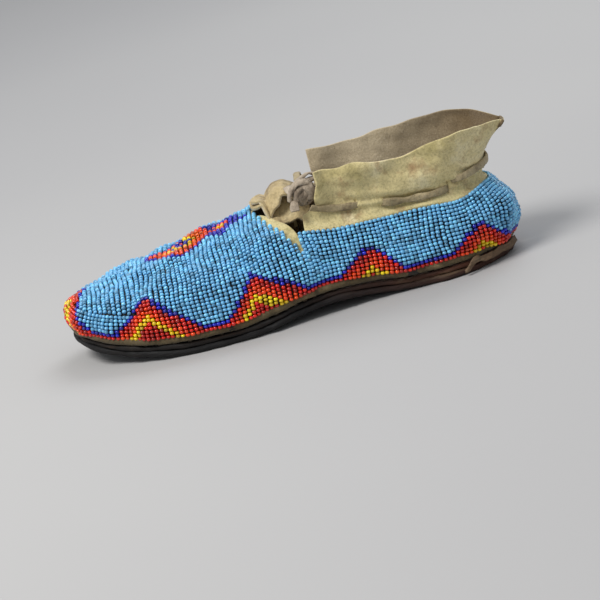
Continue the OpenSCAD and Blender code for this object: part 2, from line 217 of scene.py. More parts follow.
def bead_cut_depth(s):
    """How far in front of the notch the beads end, at share s of the way in from the edge."""
    return (NOTCH_Y - VAMP_EDGE_Y) * (1 - (1 - np.clip((s - NOTCH_S) / (1 - NOTCH_S), 0, 1)) ** 1.7)


def cut_depth(s):
    """How far in front of the notch the vamp's back edge lies."""
    return (NOTCH_Y - VAMP_EDGE_Y) * cut_share(s)


def vamp_cut(u, v):
    side, y = np.where(u < 0, -1.0, 1.0), along(np.abs(u))
    s = v ** mix(2.2, 3.2, toe_share(y))
    y2 = y - cut_depth(s) * ease((y + 62) / (NOTCH_Y + 62))
    return vamp_at(side * k_at(y2), s)


def dome_in(y, h):
    b = np.clip(h / (ridge_z(y) - feather_z(y)), 0, 1)
    return WAIST_HALF * 1.12 * (1 - np.clip(1 - b ** (1 / 0.46), 0, 1) ** (1 / 2.2))


def wall_in(y, h):
    t = ease((y - NOTCH_Y) / 35)
    lean = mix(5, 3.4, ease((y - 40) / 40)) * (h / 26) ** 2
    return mix(dome_in(y, h), lean, t) - swell(y) * np.sin(np.pi * np.clip(h / mix(46, 31, t), 0, 1))


def wall_at(u, h):
    """The quarter's inside, h above the feather line."""
    o, n = edge(u), edge_out(u)
    w = wall_in(o[..., 1], h)
    q = o - n * w[..., None]
    return np.stack([q[..., 0], q[..., 1], feather_z(o[..., 1]) + h], -1)


def front_lean(h):
    """How far the quarter's front edge leans back above the notch's foot."""
    return 2.4 * ease((h - NOTCH_H) / 20)


def quarter_top(y):
    dip = 2 * np.sin(np.pi * np.clip((y - 70) / (HEEL_Y - 70), 0, 1)) ** 2
    return 38.6 + 4.4 * np.clip((60 - y) / 54, 0, 1) ** 2 - dip


def cuff_heel_y(z):
    return 109.2 + 13.4 * ease((z - 50) / 21)


def cuff_half(y, z):
    half = 26.1 + 1.6 * ease((z - 52) / 18) - 3.6 * ease((42 - y) / 20)
    round_end = np.clip((y - CUFF_MID_Y) / (cuff_heel_y(z) - CUFF_MID_Y), 0, 1) ** 3
    return half * np.sqrt(np.clip(1 - round_end, 0, 1))


def round_y(k, end_y):
    """The y of a place k on the collar, which runs from 0 at its front to 1 at the heel."""
    front = mix(COLLAR_FRONT_Y, CUFF_MID_Y, 2 * k)
    back = CUFF_MID_Y + (end_y - CUFF_MID_Y) * np.sin(np.pi * np.clip(k - 0.5, 0, 0.5))
    return np.where(k < 0.5, front, back)


def collar_at(side, k, z):
    """The collar's face as in the CAD model: it leaves the quarter's wall and stands up as a cuff."""
    lower_y = round_y(k, HEEL_Y)
    u = side * np.minimum(k_at(lower_y), LAST_K)
    out = edge_out(u)
    low = wall_at(u, z - feather_z(lower_y))
    low[..., :2] -= 0.3 * out
    y = round_y(k, cuff_heel_y(z))
    high = np.stack([side * cuff_half(y, z), y, z + 0 * y], -1)
    return mix(low, high, ease((z - LOW_Z) / (LACE_Z - LOW_Z))[..., None])


K_NOTCH, K_TOE_COLUMNS = float(k_at(NOTCH_Y)), float(k_at(TOE_COLUMNS_Y))
LAST_K, COLLAR_END_K = 0.9995, 0.999  # just short of the heel seam, where both sides meet


# ---------------------------------------------------------------- small tools for meshes
def wobble(points, wavelength, seed):
    """A smooth, repeatable unevenness of about unit size at each point."""
    waves = 8
    rng = np.random.default_rng(seed)
    total = np.zeros(points.shape[:-1])
    for _ in range(waves):
        d = rng.normal(size=3)
        d *= 2 * np.pi / (np.linalg.norm(d) * wavelength * rng.uniform(0.7, 1.5))
        total += np.sin(points @ d + rng.uniform(0, 2 * np.pi))
    return total / math.sqrt(waves / 2)


def unit(v):
    return v / np.maximum(np.linalg.norm(v, axis=-1, keepdims=True), 1e-9)


def normals_of(grid):
    return unit(np.cross(np.gradient(grid, axis=0), np.gradient(grid, axis=1)))


def outward(grid, at, sign=1):
    """The grid's normals, turned over if the one at this row, column and axis doesn't have this sign."""
    n = normals_of(grid)
    return n if n[at] * sign > 0 else -n


def arc_of(path):
    """The length along a path up to each of its points."""
    return np.concatenate([[0], np.cumsum(np.linalg.norm(np.diff(path, axis=0), axis=1))])


def on_path(at, arc, values):
    """The rows of values at these lengths along a path."""
    return np.stack([np.interp(at, arc, column) for column in values.T], -1)


def with_z(flat, z):
    return np.concatenate([flat, z[:, None]], 1)


def full_turn(count):
    return np.arange(count) * 2 * np.pi / count


def quad_mesh(name, verts_mm, quads, materials, slots=None):
    """A mesh object from arrays of vertices in millimetres and quads of vertex numbers."""
    mesh = bpy.data.meshes.new(name)
    verts, quads = np.asarray(verts_mm, np.float64).reshape(-1, 3) * MM, np.asarray(quads, np.int32)
    mesh.vertices.add(len(verts))
    mesh.vertices.foreach_set("co", verts.astype(np.float32).ravel())
    mesh.loops.add(quads.size)
    mesh.loops.foreach_set("vertex_index", quads.ravel())
    mesh.polygons.add(len(quads))
    mesh.polygons.foreach_set("loop_start", np.arange(0, quads.size, 4, dtype=np.int32))
    if slots is not None:
        mesh.polygons.foreach_set("material_index", np.asarray(slots, np.int32))
    mesh.polygons.foreach_set("use_smooth", np.full(len(quads), True))
    for m in materials:
        mesh.materials.append(m)
    mesh.update(calc_edges=True)
    mesh.validate()
    obj = bpy.data.objects.new(name, mesh)
    bpy.context.scene.collection.objects.link(obj)
    return obj


def weld(obj, distance_mm=0.004):
    """Joins vertices that lie in the same place, drops faces with no area and turns all faces outward."""
    bm = bmesh.new()
    bm.from_mesh(obj.data)
    bmesh.ops.remove_doubles(bm, verts=bm.verts, dist=distance_mm * MM)
    bmesh.ops.dissolve_degenerate(bm, edges=bm.edges, dist=distance_mm * MM)
    bmesh.ops.recalc_face_normals(bm, faces=bm.faces)
    for f in bm.faces:
        f.smooth = True
    bm.to_mesh(obj.data)
    bm.free()
    return obj


def grid_quads(na, nb, first=0, flip=False):
    """Quads between the points of a grid with na rows and nb columns."""
    i, j = np.meshgrid(np.arange(na - 1), np.arange(nb - 1), indexing="ij")
    a = first + i * nb + j
    q = np.stack([a, a + nb, a + nb + 1, a + 1], -1).reshape(-1, 4)
    return q[:, ::-1] if flip else q


def ring_quads(rings, around, closed=False):
    """Quads between rings of vertices; closed joins the last ring to the first."""
    i, j = np.meshgrid(np.arange(rings if closed else rings - 1), np.arange(around), indexing="ij")
    i2, j2 = (i + 1) % rings * around, (j + 1) % around
    return np.stack([i * around + j, i * around + j2, i2 + j2, i2 + j], -1).reshape(-1, 4)


def steps_with_ends(count, rim):
    """Even steps from 0 to 1, with three more close to each end, where a sheet's edge is rounded."""
    ends = rim * np.array([0, 0.12, 0.45, 1])
    return np.concatenate([ends, np.linspace(rim, 1 - rim, count)[1:-1], 1 - ends[::-1]])


def edge_round(steps, rim, open_low=False):
    """Share of a sheet's thickness at each step: 0 at the very edge, round up to 1 at rim from it."""
    d = np.minimum(1 - steps, 1.0 if open_low else steps)
    d = np.where(open_low & (steps < 0.5), 1.0, np.minimum(d / rim, 1))
    return np.sqrt(np.clip(1 - (1 - d) ** 2, 0, 1))


def sheet_piece(name, middle, normals, thickness, share, materials, fold_row=False):
    """A sheet of hide round the grid of its middle surface, with rounded edges where share falls to 0."""
    half = thickness / 2 * share[..., None] * normals
    outer, inner = middle + half, middle - half
    if fold_row:
        for side_grid in (outer, inner):
            side_grid[0] = (side_grid[0] + side_grid[0][::-1]) / 2
    na, nb = middle.shape[:2]
    verts = np.concatenate([outer.reshape(-1, 3), inner.reshape(-1, 3)])
    quads = np.concatenate([grid_quads(na, nb), grid_quads(na, nb, na * nb, flip=True)])
    return weld(quad_mesh(name, verts, quads, materials, np.repeat([0, 1], (na - 1) * (nb - 1))))


def placed(obj, body, slot, *nodes):
    """Gives a piece its body and hides the CAD nodes it stands for; the slot argument is not used."""
    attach(obj, body)
    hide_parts(*nodes)


# ---------------------------------------------------------------- materials
def linear(rgb):
    """An sRGB colour of 0 to 255 as linear light."""
    c = np.array(rgb, float) / 255
    return tuple(np.where(c <= 0.04045, c / 12.92, ((c + 0.055) / 1.055) ** 2.4)) + (1.0,)


class Nodes:
    """Short names for making a material's nodes."""

    def __init__(self, name):
        self.material = bpy.data.materials.new(name)
        self.material.use_nodes = True
        self.tree = self.material.node_tree
        self.shader = self.tree.nodes["Principled BSDF"]
        self.place = self.tree.nodes.new("ShaderNodeTexCoord").outputs["Object"]

    def add(self, kind, inputs):
        """A node of this kind, with its inputs linked to sockets or set to values."""
        n = self.tree.nodes.new("ShaderNode" + kind)
        for key, v in inputs.items():
            if isinstance(v, bpy.types.NodeSocket):
                self.tree.links.new(v, n.inputs[key])
            else:
                n.inputs[key].default_value = v
        return n

    def stretched(self, scale):
        return self.add("Mapping", {"Scale": scale, "Vector": self.place}).outputs["Vector"]

    def noise(self, size_mm, detail, rough, vector=None, distortion=0.0):
        settings = {"Detail": detail, "Roughness": rough, "Distortion": distortion}
        place = {"Scale": 1 / (size_mm * MM), "Vector": vector or self.place}
        return self.add("TexNoise", {**settings, **place}).outputs["Fac"]

    def cells(self, size_mm):
        n = self.add("TexVoronoi", {"Scale": 1 / (size_mm * MM), "Vector": self.place})
        return n.outputs["Distance"]

    def ramp(self, value, stops):
        n = self.add("ValToRGB", {"Fac": value})
        n.color_ramp.interpolation = "EASE"
        while len(n.color_ramp.elements) < len(stops):
            n.color_ramp.elements.new(0.5)
        for e, (at, colour) in zip(n.color_ramp.elements, stops):
            e.position = at
            e.color = linear(colour)
        return n.outputs["Color"]

    def span(self, value, a0, a1, b0, b1):
        """The value, mapped from the range a0 to a1 on to the range b0 to b1."""
        ends = {"From Min": a0, "From Max": a1, "To Min": b0, "To Max": b1}
        return self.add("MapRange", {**ends, "Value": value}).outputs["Result"]

    def blend(self, a, b, share, kind="MIX"):
        n = self.add("MixRGB", {"Color1": a, "Color2": b, "Fac": share})
        n.blend_type = kind
        return n.outputs["Color"]

    def axis(self, which):
        return self.add("SeparateXYZ", {"Vector": self.place}).outputs[which]

    def bump(self, height, depth_mm, strength=1.0):
        """Adds relief on top of any that the shader already has."""
        n = self.add("Bump", {"Distance": depth_mm * MM, "Strength": strength, "Height": height})
        if self.shader.inputs["Normal"].is_linked:
            self.tree.links.new(self.shader.inputs["Normal"].links[0].from_socket, n.inputs["Normal"])
        self.tree.links.new(n.outputs["Normal"], self.shader.inputs["Normal"])

    def done(self, colour, roughness, specular, sheen=0.0):
        self.tree.links.new(colour, self.shader.inputs["Base Color"])
        self.tree.links.new(roughness, self.shader.inputs["Roughness"])
        self.shader.inputs["Specular IOR Level"].default_value = specular
        self.shader.inputs["Sheen Weight"].default_value = sheen
        return self.material


def rawhide_material(name, dark, middle, light, heel_warmth):
    """Worn rawhide: layered along its cut edge, dark with dirt, warmer and paler towards the heel."""
    n = Nodes(name)
    layers = n.noise(5, 5, 0.6, n.stretched((0.35, 0.12, 3.2)))
    patches = n.noise(17, 4, 0.6)
    colour = n.ramp(n.blend(layers, patches, 0.4), [(0.30, dark), (0.52, middle), (0.72, light)])
    heel = n.span(n.axis("Y"), 0.0, 0.1, 0.0, heel_warmth)
    warm = n.ramp(n.noise(7, 4, 0.6, n.stretched((0.5, 0.3, 2.0))),
                  [(0.3, (52, 30, 20)), (0.5, (92, 52, 34)), (0.7, (140, 112, 84))])
    colour = n.blend(colour, warm, heel)
    n.bump(n.noise(2.2, 5, 0.65, n.stretched((0.5, 0.25, 2.6))), 0.7)
    n.bump(n.cells(1.1), 0.12, 0.5)
    return n.done(colour, n.span(layers, 0.3, 0.7, 0.5, 0.82), 0.35)


def hide_material(name, dark, middle, light, stain_and_shade, stain_from=0.56, grain_mm=0.75, bump_mm=0.16):
    """Smoke-tanned hide: cloudy colour, brown stains from handling and a fine grain; under the beads its
    near-black colours and stain are painted shade.
    """
    n = Nodes(name)
    cloud = n.noise(24, 5, 0.6, distortion=0.5)
    colour = n.ramp(cloud, [(0.30, dark), (0.5, middle), (0.70, light)])
    # Stains; for the hide under the beads this colour is painted shade
    spots = n.span(n.noise(13, 4, 0.62), stain_from, stain_from + 0.16, 0.0, 0.8)
    colour = n.blend(colour, linear(stain_and_shade), spots)
    fine = n.noise(1.4, 4, 0.7)
    darker = n.ramp(fine, [(0.3, (150, 145, 140)), (0.6, (255, 255, 255))])
    colour = n.blend(colour, darker, 0.45, "MULTIPLY")
    n.bump(n.noise(3.4, 4, 0.6), 0.5, 0.6)
    n.bump(n.cells(grain_mm), bump_mm, 0.8)
    return n.done(colour, n.span(cloud, 0.3, 0.7, 0.78, 0.56), 0.25, 0.1)


def suede_material(name, dark, middle, light):
    """The flesh side of the hide: a rough nap of short fibres, mottled brown and grey."""
    n = Nodes(name)
    nap = n.noise(0.9, 5, 0.75)
    cloud = n.noise(26, 3, 0.5)
    colour = n.ramp(n.blend(cloud, nap, 0.78), [(0.32, dark), (0.5, middle), (0.68, light)])
    # Painted shade: the flesh side is darkened towards the heel, where it lies deep inside the shoe
    heel = n.span(n.axis("Y"), 0.055, 0.105, 0.0, 0.9)  # darker towards the heel
    colour = n.blend(colour, linear((138, 124, 104)), heel, "MULTIPLY")
    n.bump(nap, 0.55)
    n.bump(n.noise(4, 3, 0.5), 0.6, 0.5)
    return n.done(colour, n.span(nap, 0.3, 0.7, 0.98, 0.86), 0.1, 0.25)


def sinew_material(name, dark, light):
    """Twisted sinew thread."""
    n = Nodes(name)
    twist = n.noise(1.0, 3, 0.6, n.stretched((2, 2, 2)))
    colour = n.ramp(twist, [(0.3, dark), (0.6, light)])
    n.bump(twist, 0.2)
    return n.done(colour, n.span(twist, 0.3, 0.7, 0.7, 0.5), 0.3)


HIDE_INSIDE = suede_material("hide_flesh_side", (84, 70, 50), (128, 110, 80), (160, 142, 108))
# The hide under the beads is painted near-black: painted shade for the gaps between the beads
HIDE_UNDER_BEADS_PAINTED_SHADE = hide_material("hide_under_beads", (30, 30, 32), (46, 44, 42), (64, 60, 52), (28, 26, 26))
HEM = hide_material("hem_hide", (70, 60, 42), (98, 85, 60), (128, 112, 80), (46, 38, 28), 0.52, 0.6, 0.2)
COLLAR = hide_material("collar_hide", (190, 176, 122), (216, 201, 148), (234, 221, 176), (164, 130, 92), 0.57)
COLLAR_INSIDE = suede_material("collar_flesh_side", (162, 145, 118), (198, 182, 152), (228, 213, 184))
TONGUE = hide_material("tongue_hide", (132, 114, 82), (190, 170, 126), (218, 202, 160), (112, 90, 68),
                       0.50, 0.75, 0.2)
LACE = hide_material("lace_hide", (124, 108, 80), (168, 152, 118), (198, 182, 146), (96, 78, 58),
                     0.54, 0.6, 0.2)
# The knot's thong: greyer than the lace, its own tone, and lighter, which is painted light to lift the shade
# the knot sits in
KNOT_PAINTED_LIGHT = hide_material("knot_hide_painted_light", (128, 113, 96), (178, 163, 143), (212, 199, 178), (92, 74, 62),
                     0.53, 0.6, 0.25)
OUTSOLE = rawhide_material("outsole_rawhide", (10, 10, 11), (18, 17, 18), (36, 31, 28), 0.5)
MIDSOLE = rawhide_material("midsole_rawhide", (12, 10, 9), (24, 19, 16), (52, 38, 28), 0.9)
WELT = rawhide_material("welt_rawhide", (12, 10, 9), (24, 19, 16), (42, 33, 26), 0.2)
CURLED_WELT = rawhide_material("curled_rawhide", (62, 52, 40), (112, 96, 74), (168, 152, 124), 0.35)
SINEW = sinew_material("sinew", (150, 134, 96), (196, 178, 136))
SOILED_SINEW = sinew_material("soiled_sinew", (34, 28, 20), (70, 58, 42))

BEAD_COLOURS = {
    "turquoise": (113, 188, 234),
    "blue": (26, 34, 176),
    "red": (204, 24, 5),
    "scarlet": (240, 66, 4),
    "orange": (226, 96, 10),
    "yellow": (240, 202, 8),
}
SHADES = (0.76, 0.92, 1.0, 1.13)  # each colour's beads come in these, from dark to light
SHADE_ODDS = (0.14, 0.28, 0.36, 0.22)


def bead_material(name, rgb, shade):
    """Opaque glass, a little glossier in the lighter beads."""
    material = bpy.data.materials.new(name)
    material.use_nodes = True
    shader = material.node_tree.nodes["Principled BSDF"]
    colour = np.array(linear(rgb))
    colour[:3] = np.clip(colour[:3] * shade**2, 0, 0.95)
    lightness = (shade - SHADES[0]) / (SHADES[-1] - SHADES[0])
    for key, v in (("Base Color", colour), ("Roughness", mix(0.34, 0.22, lightness)),
                   ("Specular IOR Level", 0.5), ("Coat Weight", 0.5), ("Coat Roughness", 0.1)):
        shader.inputs[key].default_value = v
    return material


BEAD_NAMES = list(BEAD_COLOURS)
BEAD_MATERIALS = [bead_material(f"{name}_bead_{i}", BEAD_COLOURS[name], shade)
                  for name in BEAD_NAMES for i, shade in enumerate(SHADES)]
TURQUOISE, BLUE, RED, SCARLET, ORANGE, YELLOW = range(len(BEAD_NAMES))


# ---------------------------------------------------------------- the beadwork's pattern
# Each stepped triangle of the border, by the hem's place along the foot: start, apex, end and height
TRIANGLES = [(-100, -79, -47, 24.5), (-42, -23.5, 9, 22.5), (14, 38, 60, 16.5), (73, 95, 112, 16.5)]
TOE_TRIANGLE_END_Y, TOE_TRIANGLE_H = -102.0, 25.0
BETWEEN_H = 3.8  # height of the narrow band between the triangles
# The triangles' bands from their outline inwards: each colour starts at this depth below the outline
BANDS = [(0, BLUE), (2.3, RED), (6.4, SCARLET), (10.6, YELLOW), (14.8, RED)]


def border_height(u):
    """Height of the border's outline above the hem, at the feather line's place u."""
    y = along(np.abs(u))
    h = np.full(np.shape(u), BETWEEN_H)
    for start, apex, end, top in TRIANGLES:
        rise = np.clip((y - start) / (apex - start), 0, 1)
        fall = np.clip((end - y) / (end - apex), 0, 1)
        h = np.maximum(h, top * np.minimum(rise, fall))
    toe = 1 - np.abs(u) / float(k_at(TOE_TRIANGLE_END_Y))
    return np.maximum(h, TOE_TRIANGLE_H * toe)


def border_colour(u, height):
    depth = border_height(u) - height
    colour = np.full(np.shape(depth), TURQUOISE)
    for at, c in BANDS:
        colour = np.where(depth > at, c, colour)
    return colour


def diamond(x, y, middle_y, half_length, half_width):
    return np.abs(x) / half_width + np.abs(y - middle_y) / half_length


def motif_colour(x, y):
    """The figure on the instep, a banded diamond with a smaller blue one behind it; -1 outside it."""
    colour = np.full(np.shape(x), -1)
    big = diamond(x, y, -55.5, 22.0, 18.0)
    for limit, c in [(1, BLUE), (0.84, SCARLET), (0.62, ORANGE), (0.46, YELLOW), (0.3, BLUE), (0.13, RED)]:
        colour = np.where(big < limit, c, colour)
    small = diamond(x, y, -32.5, 13.0, 15.0)
    for limit, c in [(1, BLUE), (0.42, SCARLET), (0.2, YELLOW)]:
        colour = np.where((small < limit) & (big > 0.9), c, colour)
    stem, tip = np.abs(x) < 1.9, -18.5
    colour = np.where(stem & (y > -24) & (y < tip), BLUE, colour)
    return np.where(stem & (y >= tip) & (y < -16.6), YELLOW, colour)


# ---------------------------------------------------------------- beads on their threads
BEAD_SEGMENTS = 10
# Each point of a bead's cross-section, as distance from its hole's axis and place along it
BEAD_PROFILE = [(0.34, -0.60), (0.62, -0.85), (0.98, -0.58), (1.16, 0.0), (0.98, 0.58), (0.62, 0.85),
                (0.34, 0.60)]


def pucker(points):
    """How far the hide, and the beads with it, stands out or sinks in where the lanes draw it together."""
    return 0.66 * wobble(points, 17, 11) + 0.16 * wobble(points, 7, 12)


def hump(height, rise, sink):
    """How far beads at this height above the hem stand out: each lane is a low arch of beads."""
    return rise * np.sin(np.pi * ((height / LANE) % 1)) - sink


def hang(points, normals, u, first, spacing, lane=True, count=None):
    """Beads on one thread: their centres, directions, places round the shoe and heights above the hem."""
    path = points + normals * BEAD_LIFT
    arc = arc_of(path)
    if count is None:
        count = int((arc[-1] - first - END_GAP) / spacing)
    if count < 1:
        return None
    at = first + (np.arange(count) + 0.5) * spacing
    at = at[at < arc[-1]]
    centre, normal = on_path(at, arc, path), unit(on_path(at, arc, normals))
    ahead = unit(on_path(at + 0.4, arc, path) - on_path(at - 0.4, arc, path))
    # Threads sway a little to the side
    centre = centre + unit(np.cross(ahead, normal)) * (0.42 * wobble(centre, 26, 13))[:, None]
    lift = pucker(centre)
    if lane:
        lift = lift + hump(at - FIRST_BEAD, 0.72, 0.25)
    return {"centre": centre + normal * lift[:, None], "along": ahead, "normal": normal,
            "u": np.interp(at, arc, u), "height": at - FIRST_BEAD, "wide": np.ones(len(at)),
            "from_ridge": np.full(len(at), OFF_THE_RIDGE)}


def joined(strings):
    strings = [s for s in strings if s is not None and len(s["centre"])]
    return {key: np.concatenate([s[key] for s in strings]) for key in strings[0]}


def picked(beads, mask):
    return {key: value[mask] for key, value in beads.items()}


def bead_piece(name, beads, seed):
    """One mesh of all these beads, each turned to its thread and a little out of true."""
    rng = np.random.default_rng(seed)
    n = len(beads["centre"])
    along_thread = unit(beads["along"] + rng.normal(scale=0.055, size=(n, 3)))
    across = unit(np.cross(along_thread, beads["normal"]))
    out = np.cross(across, along_thread)
    size = rng.normal(1.0, 0.045, n)[:, None, None]
    turn = full_turn(BEAD_SEGMENTS)
    ring_r, ring_z = [column[:, None] * np.ones(BEAD_SEGMENTS) for column in np.array(BEAD_PROFILE).T]
    length = rng.normal(1.0, 0.07, n)[:, None, None]
    centre = beads["centre"] + across * rng.normal(scale=0.10, size=(n, 1))
    centre = centre + out * rng.normal(scale=0.09, size=(n, 1))
    wide = size * beads["wide"][:, None, None]
    verts = (centre[:, None, None] + across[:, None, None] * (ring_r * np.cos(turn) * wide)[..., None]
             + out[:, None, None] * (ring_r * np.sin(turn) * size)[..., None]
             + along_thread[:, None, None] * (ring_z * (size * length))[..., None])
    face = ring_quads(len(BEAD_PROFILE), BEAD_SEGMENTS, closed=True)
    first = np.arange(n) * len(BEAD_PROFILE) * BEAD_SEGMENTS
    quads = (face[None] + first[:, None, None]).reshape(-1, 4)
    shade = rng.choice(len(SHADES), size=n, p=SHADE_ODDS)
    slots = np.repeat(beads["colour"] * len(SHADES) + shade, len(face))
    used = np.unique(slots)
    materials = [BEAD_MATERIALS[s] for s in used]
    return quad_mesh(name, verts, quads, materials, np.searchsorted(used, slots))


VAMP_US = np.linspace(0, K_NOTCH, 361)
VAMP_SS = np.linspace(0, 1, 181) ** 3.2


def vamp_grids():
    """Points and normals of the vamp's surface on each side, which meet in a row along the ridge."""
    grids = {}
    for side in (1, -1):
        p = vamp_at(side * VAMP_US[:, None] + 0 * VAMP_SS, VAMP_SS[None, :] + 0 * VAMP_US[:, None])
        grids[side] = (p, outward(p, (180, 120, 2)))
    fold = unit(grids[1][1][0] + grids[-1][1][0])
    for side in (1, -1):
        grids[side][1][0] = fold
    return grids


VAMP = vamp_grids()


def trace(side, us, rows):
    """The vamp's surface along a path: at row j of the grid of heights, place us[j] round the edge."""
    p, n = VAMP[side]
    at = np.clip(us / VAMP_US[1], 0, len(VAMP_US) - 1.001)
    i = at.astype(int)
    f = (at - i)[:, None]
    return mix(p[i, rows], p[i + 1, rows], f), unit(mix(n[i, rows], n[i + 1, rows], f))


def level_places(side, y0):
    """For each row of the grid, the place round the edge where it crosses y0, or nan past the ridge."""
    p = VAMP[side][0]
    return np.array([np.interp(y0, p[:, j, 1], VAMP_US, left=np.nan) for j in range(len(VAMP_SS))])


def hoop_side(side, y0):
    us = level_places(side, y0)
    rows = np.nonzero(~np.isnan(us))[0]
    points, normals = trace(side, us[rows], rows)
    return points, normals, us[rows], VAMP_SS[rows]


def hoops():
    """Threads that run from hem to hem over the instep, one behind the other."""
    strings = []
    count = round((SEAM_Y - TOE_COLUMNS_Y) / BEAD_ACROSS)
    for y0 in TOE_COLUMNS_Y + (np.arange(count) + 0.5) * (SEAM_Y - TOE_COLUMNS_Y) / count:
        parts = [hoop_side(side, y0) for side in (1, -1)]
        points, normals, us, ss = [np.concatenate([a, b[::-1]]) for a, b in zip(*parts)]
        arc = arc_of(points + normals * BEAD_LIFT)
        beaded = arc[-1] - 2 * FIRST_BEAD
        beads_on_it = round(beaded / BEAD_ALONG)
        spacing = beaded / beads_on_it
        s = hang(points, normals, us, FIRST_BEAD, spacing, lane=False, count=beads_on_it)
        from_end = beaded - s["height"]
        lateral = s["height"] < from_end
        s["height"] = np.minimum(s["height"], from_end)
        s["centre"] = s["centre"] + s["normal"] * hump(s["height"], 0.5, 0.15)[:, None]
        s["u"] = np.where(lateral, 1, -1) * np.abs(s["u"])
        s["from_ridge"] = (s["height"] + FIRST_BEAD - arc[-1] / 2) * np.where(lateral, -1, 1)
        share = np.interp(FIRST_BEAD + (np.arange(len(s["u"])) + 0.5) * spacing, arc, ss)
        strings.append(picked(s, y0 + 0.4 * BEAD_ACROSS < NOTCH_Y + 0.9 - bead_cut_depth(share)))
    return strings


def toe_columns():
    """Threads of the border's lane that stand up all round the toe."""
    strings = []
    for side in (1, -1):
        us = np.linspace(0, K_TOE_COLUMNS, 400)
        arc = arc_of(edge(side * us))
        count = round(arc[-1] / BEAD_ACROSS)
        for a in (np.arange(count) + 0.5) * arc[-1] / count:
            u0 = float(np.interp(a, arc, us))
            y0 = float(along(u0))
            level = level_places(side, y0)
            rows = np.nonzero(~np.isnan(level))[0]
            # At the toe's tip the threads fan out, and further back they turn to run level
            w = float(ease((y0 + 98) / 14))
            path_u = np.full(len(VAMP_SS), u0)
            path_u[rows] = mix(u0, level[rows], w)
            points, normals = trace(side, path_u, np.arange(len(VAMP_SS)))
            s = hang(points, normals, side * path_u, FIRST_BEAD, BEAD_ALONG, count=LANE_BEADS)
            # The threads come closer as they rise, so the beads there are a little narrower
            reach_in = np.clip(s["height"] / LANE, 0, 1)
            s["wide"] = 1 - 0.2 * reach_in * (1 - ease(np.abs(s["u"]) / K_TOE_COLUMNS))
            strings.append(s)
    return strings


def toe_top_rows():
    """Threads across the top of the toe, inside the border's lane."""
    strings = []
    for side in (1, -1):
        p, n = VAMP[side]
        step = np.linalg.norm(np.diff(p + n * BEAD_LIFT, axis=1), axis=2)
        height = np.concatenate([np.zeros((len(VAMP_US), 1)), np.cumsum(step, axis=1)], axis=1) - FIRST_BEAD
        for y0 in TOE_COLUMNS_Y - (np.arange(TOE_TOP_ROWS) + 0.5) * BEAD_ACROSS:
            # From the ridge outwards, so that both halves of a row meet in the middle
            near = np.nonzero((p[:, 0, 1] < y0) & (p[:, -1, 1] > y0))[0]
            if len(near) < SHORTEST_ROW:
                continue
            at = np.array([np.interp(y0, p[i, :, 1], np.arange(len(VAMP_SS))) for i in near])
            j = np.minimum(at.astype(int), len(VAMP_SS) - 2)
            f = (at - j)[:, None]
            points = mix(p[near, j], p[near, j + 1], f)
            normals = unit(mix(n[near, j], n[near, j + 1], f))
            rise = mix(height[near, j], height[near, j + 1], f[:, 0])
            s = hang(points, normals, side * VAMP_US[near], 0, BEAD_ALONG, lane=False)
            if s is None:
                continue
            arc = (np.arange(len(s["u"])) + 0.5) * BEAD_ALONG
            s["height"] = np.interp(arc, arc_of(points + normals * BEAD_LIFT), rise)
            s["from_ridge"] = side * arc
            strings.append(picked(s, s["height"] > LANE + 0.35))
    return strings


def vamp_beads():
    beads = joined(hoops() + toe_columns() + toe_top_rows())
    colour = border_colour(beads["u"], beads["height"])
    motif = motif_colour(beads["from_ridge"], beads["centre"][:, 1])
    beads["colour"] = np.where((colour == TURQUOISE) & (motif >= 0), motif, colour)
    return beads


def quarter_columns(side):
    """Threads of two lanes, one above the other, from the notch to the heel seam."""
    front = float(k_at(SEAM_Y))
    us = np.linspace(front, LAST_K, 700)
    arc = arc_of(edge(side * us) + edge_out(side * us) * 2.0)
    count = round(arc[-1] / BEAD_ACROSS)
    lower, upper = [], []
    for a in (np.arange(count) + 0.5) * arc[-1] / count:
        u0 = float(np.interp(a, arc, us))
        share = 1 - a / arc[-1]
        y = float(along(u0))
        top = float(quarter_top(y) - feather_z(y)) + 0.2
        h = np.linspace(0, top, 90)
        shift = (k_at(SEAM_Y + front_lean(h)) - front) * share
        shift = shift - 0.0022 * share * (1 - ease((h - NOTCH_H + 6) / 6))  # closer to the vamp's beads
        u = side * (u0 + shift)
        points = wall_at(u, h)
        beside = wall_at(side * (u0 + shift - 0.004), h)
        normals = unit(np.cross(np.gradient(points, axis=0), points - beside)) * -side
        length = arc_of(points + normals * BEAD_LIFT)[-1] - FIRST_BEAD
        count_up = round(length / BEAD_ALONG)
        s = hang(points, normals, u, FIRST_BEAD, length / count_up, count=count_up)
        s["colour"] = border_colour(s["u"], s["height"])
        lower.append(picked(s, s["height"] < LANE))
        upper.append(picked(s, s["height"] >= LANE))
    return joined(lower), joined(upper)


# ---------------------------------------------------------------- soles
def centre_x(y):
    return (reach(np.array(1.0), y) - reach(np.array(-1.0), y)) / 2


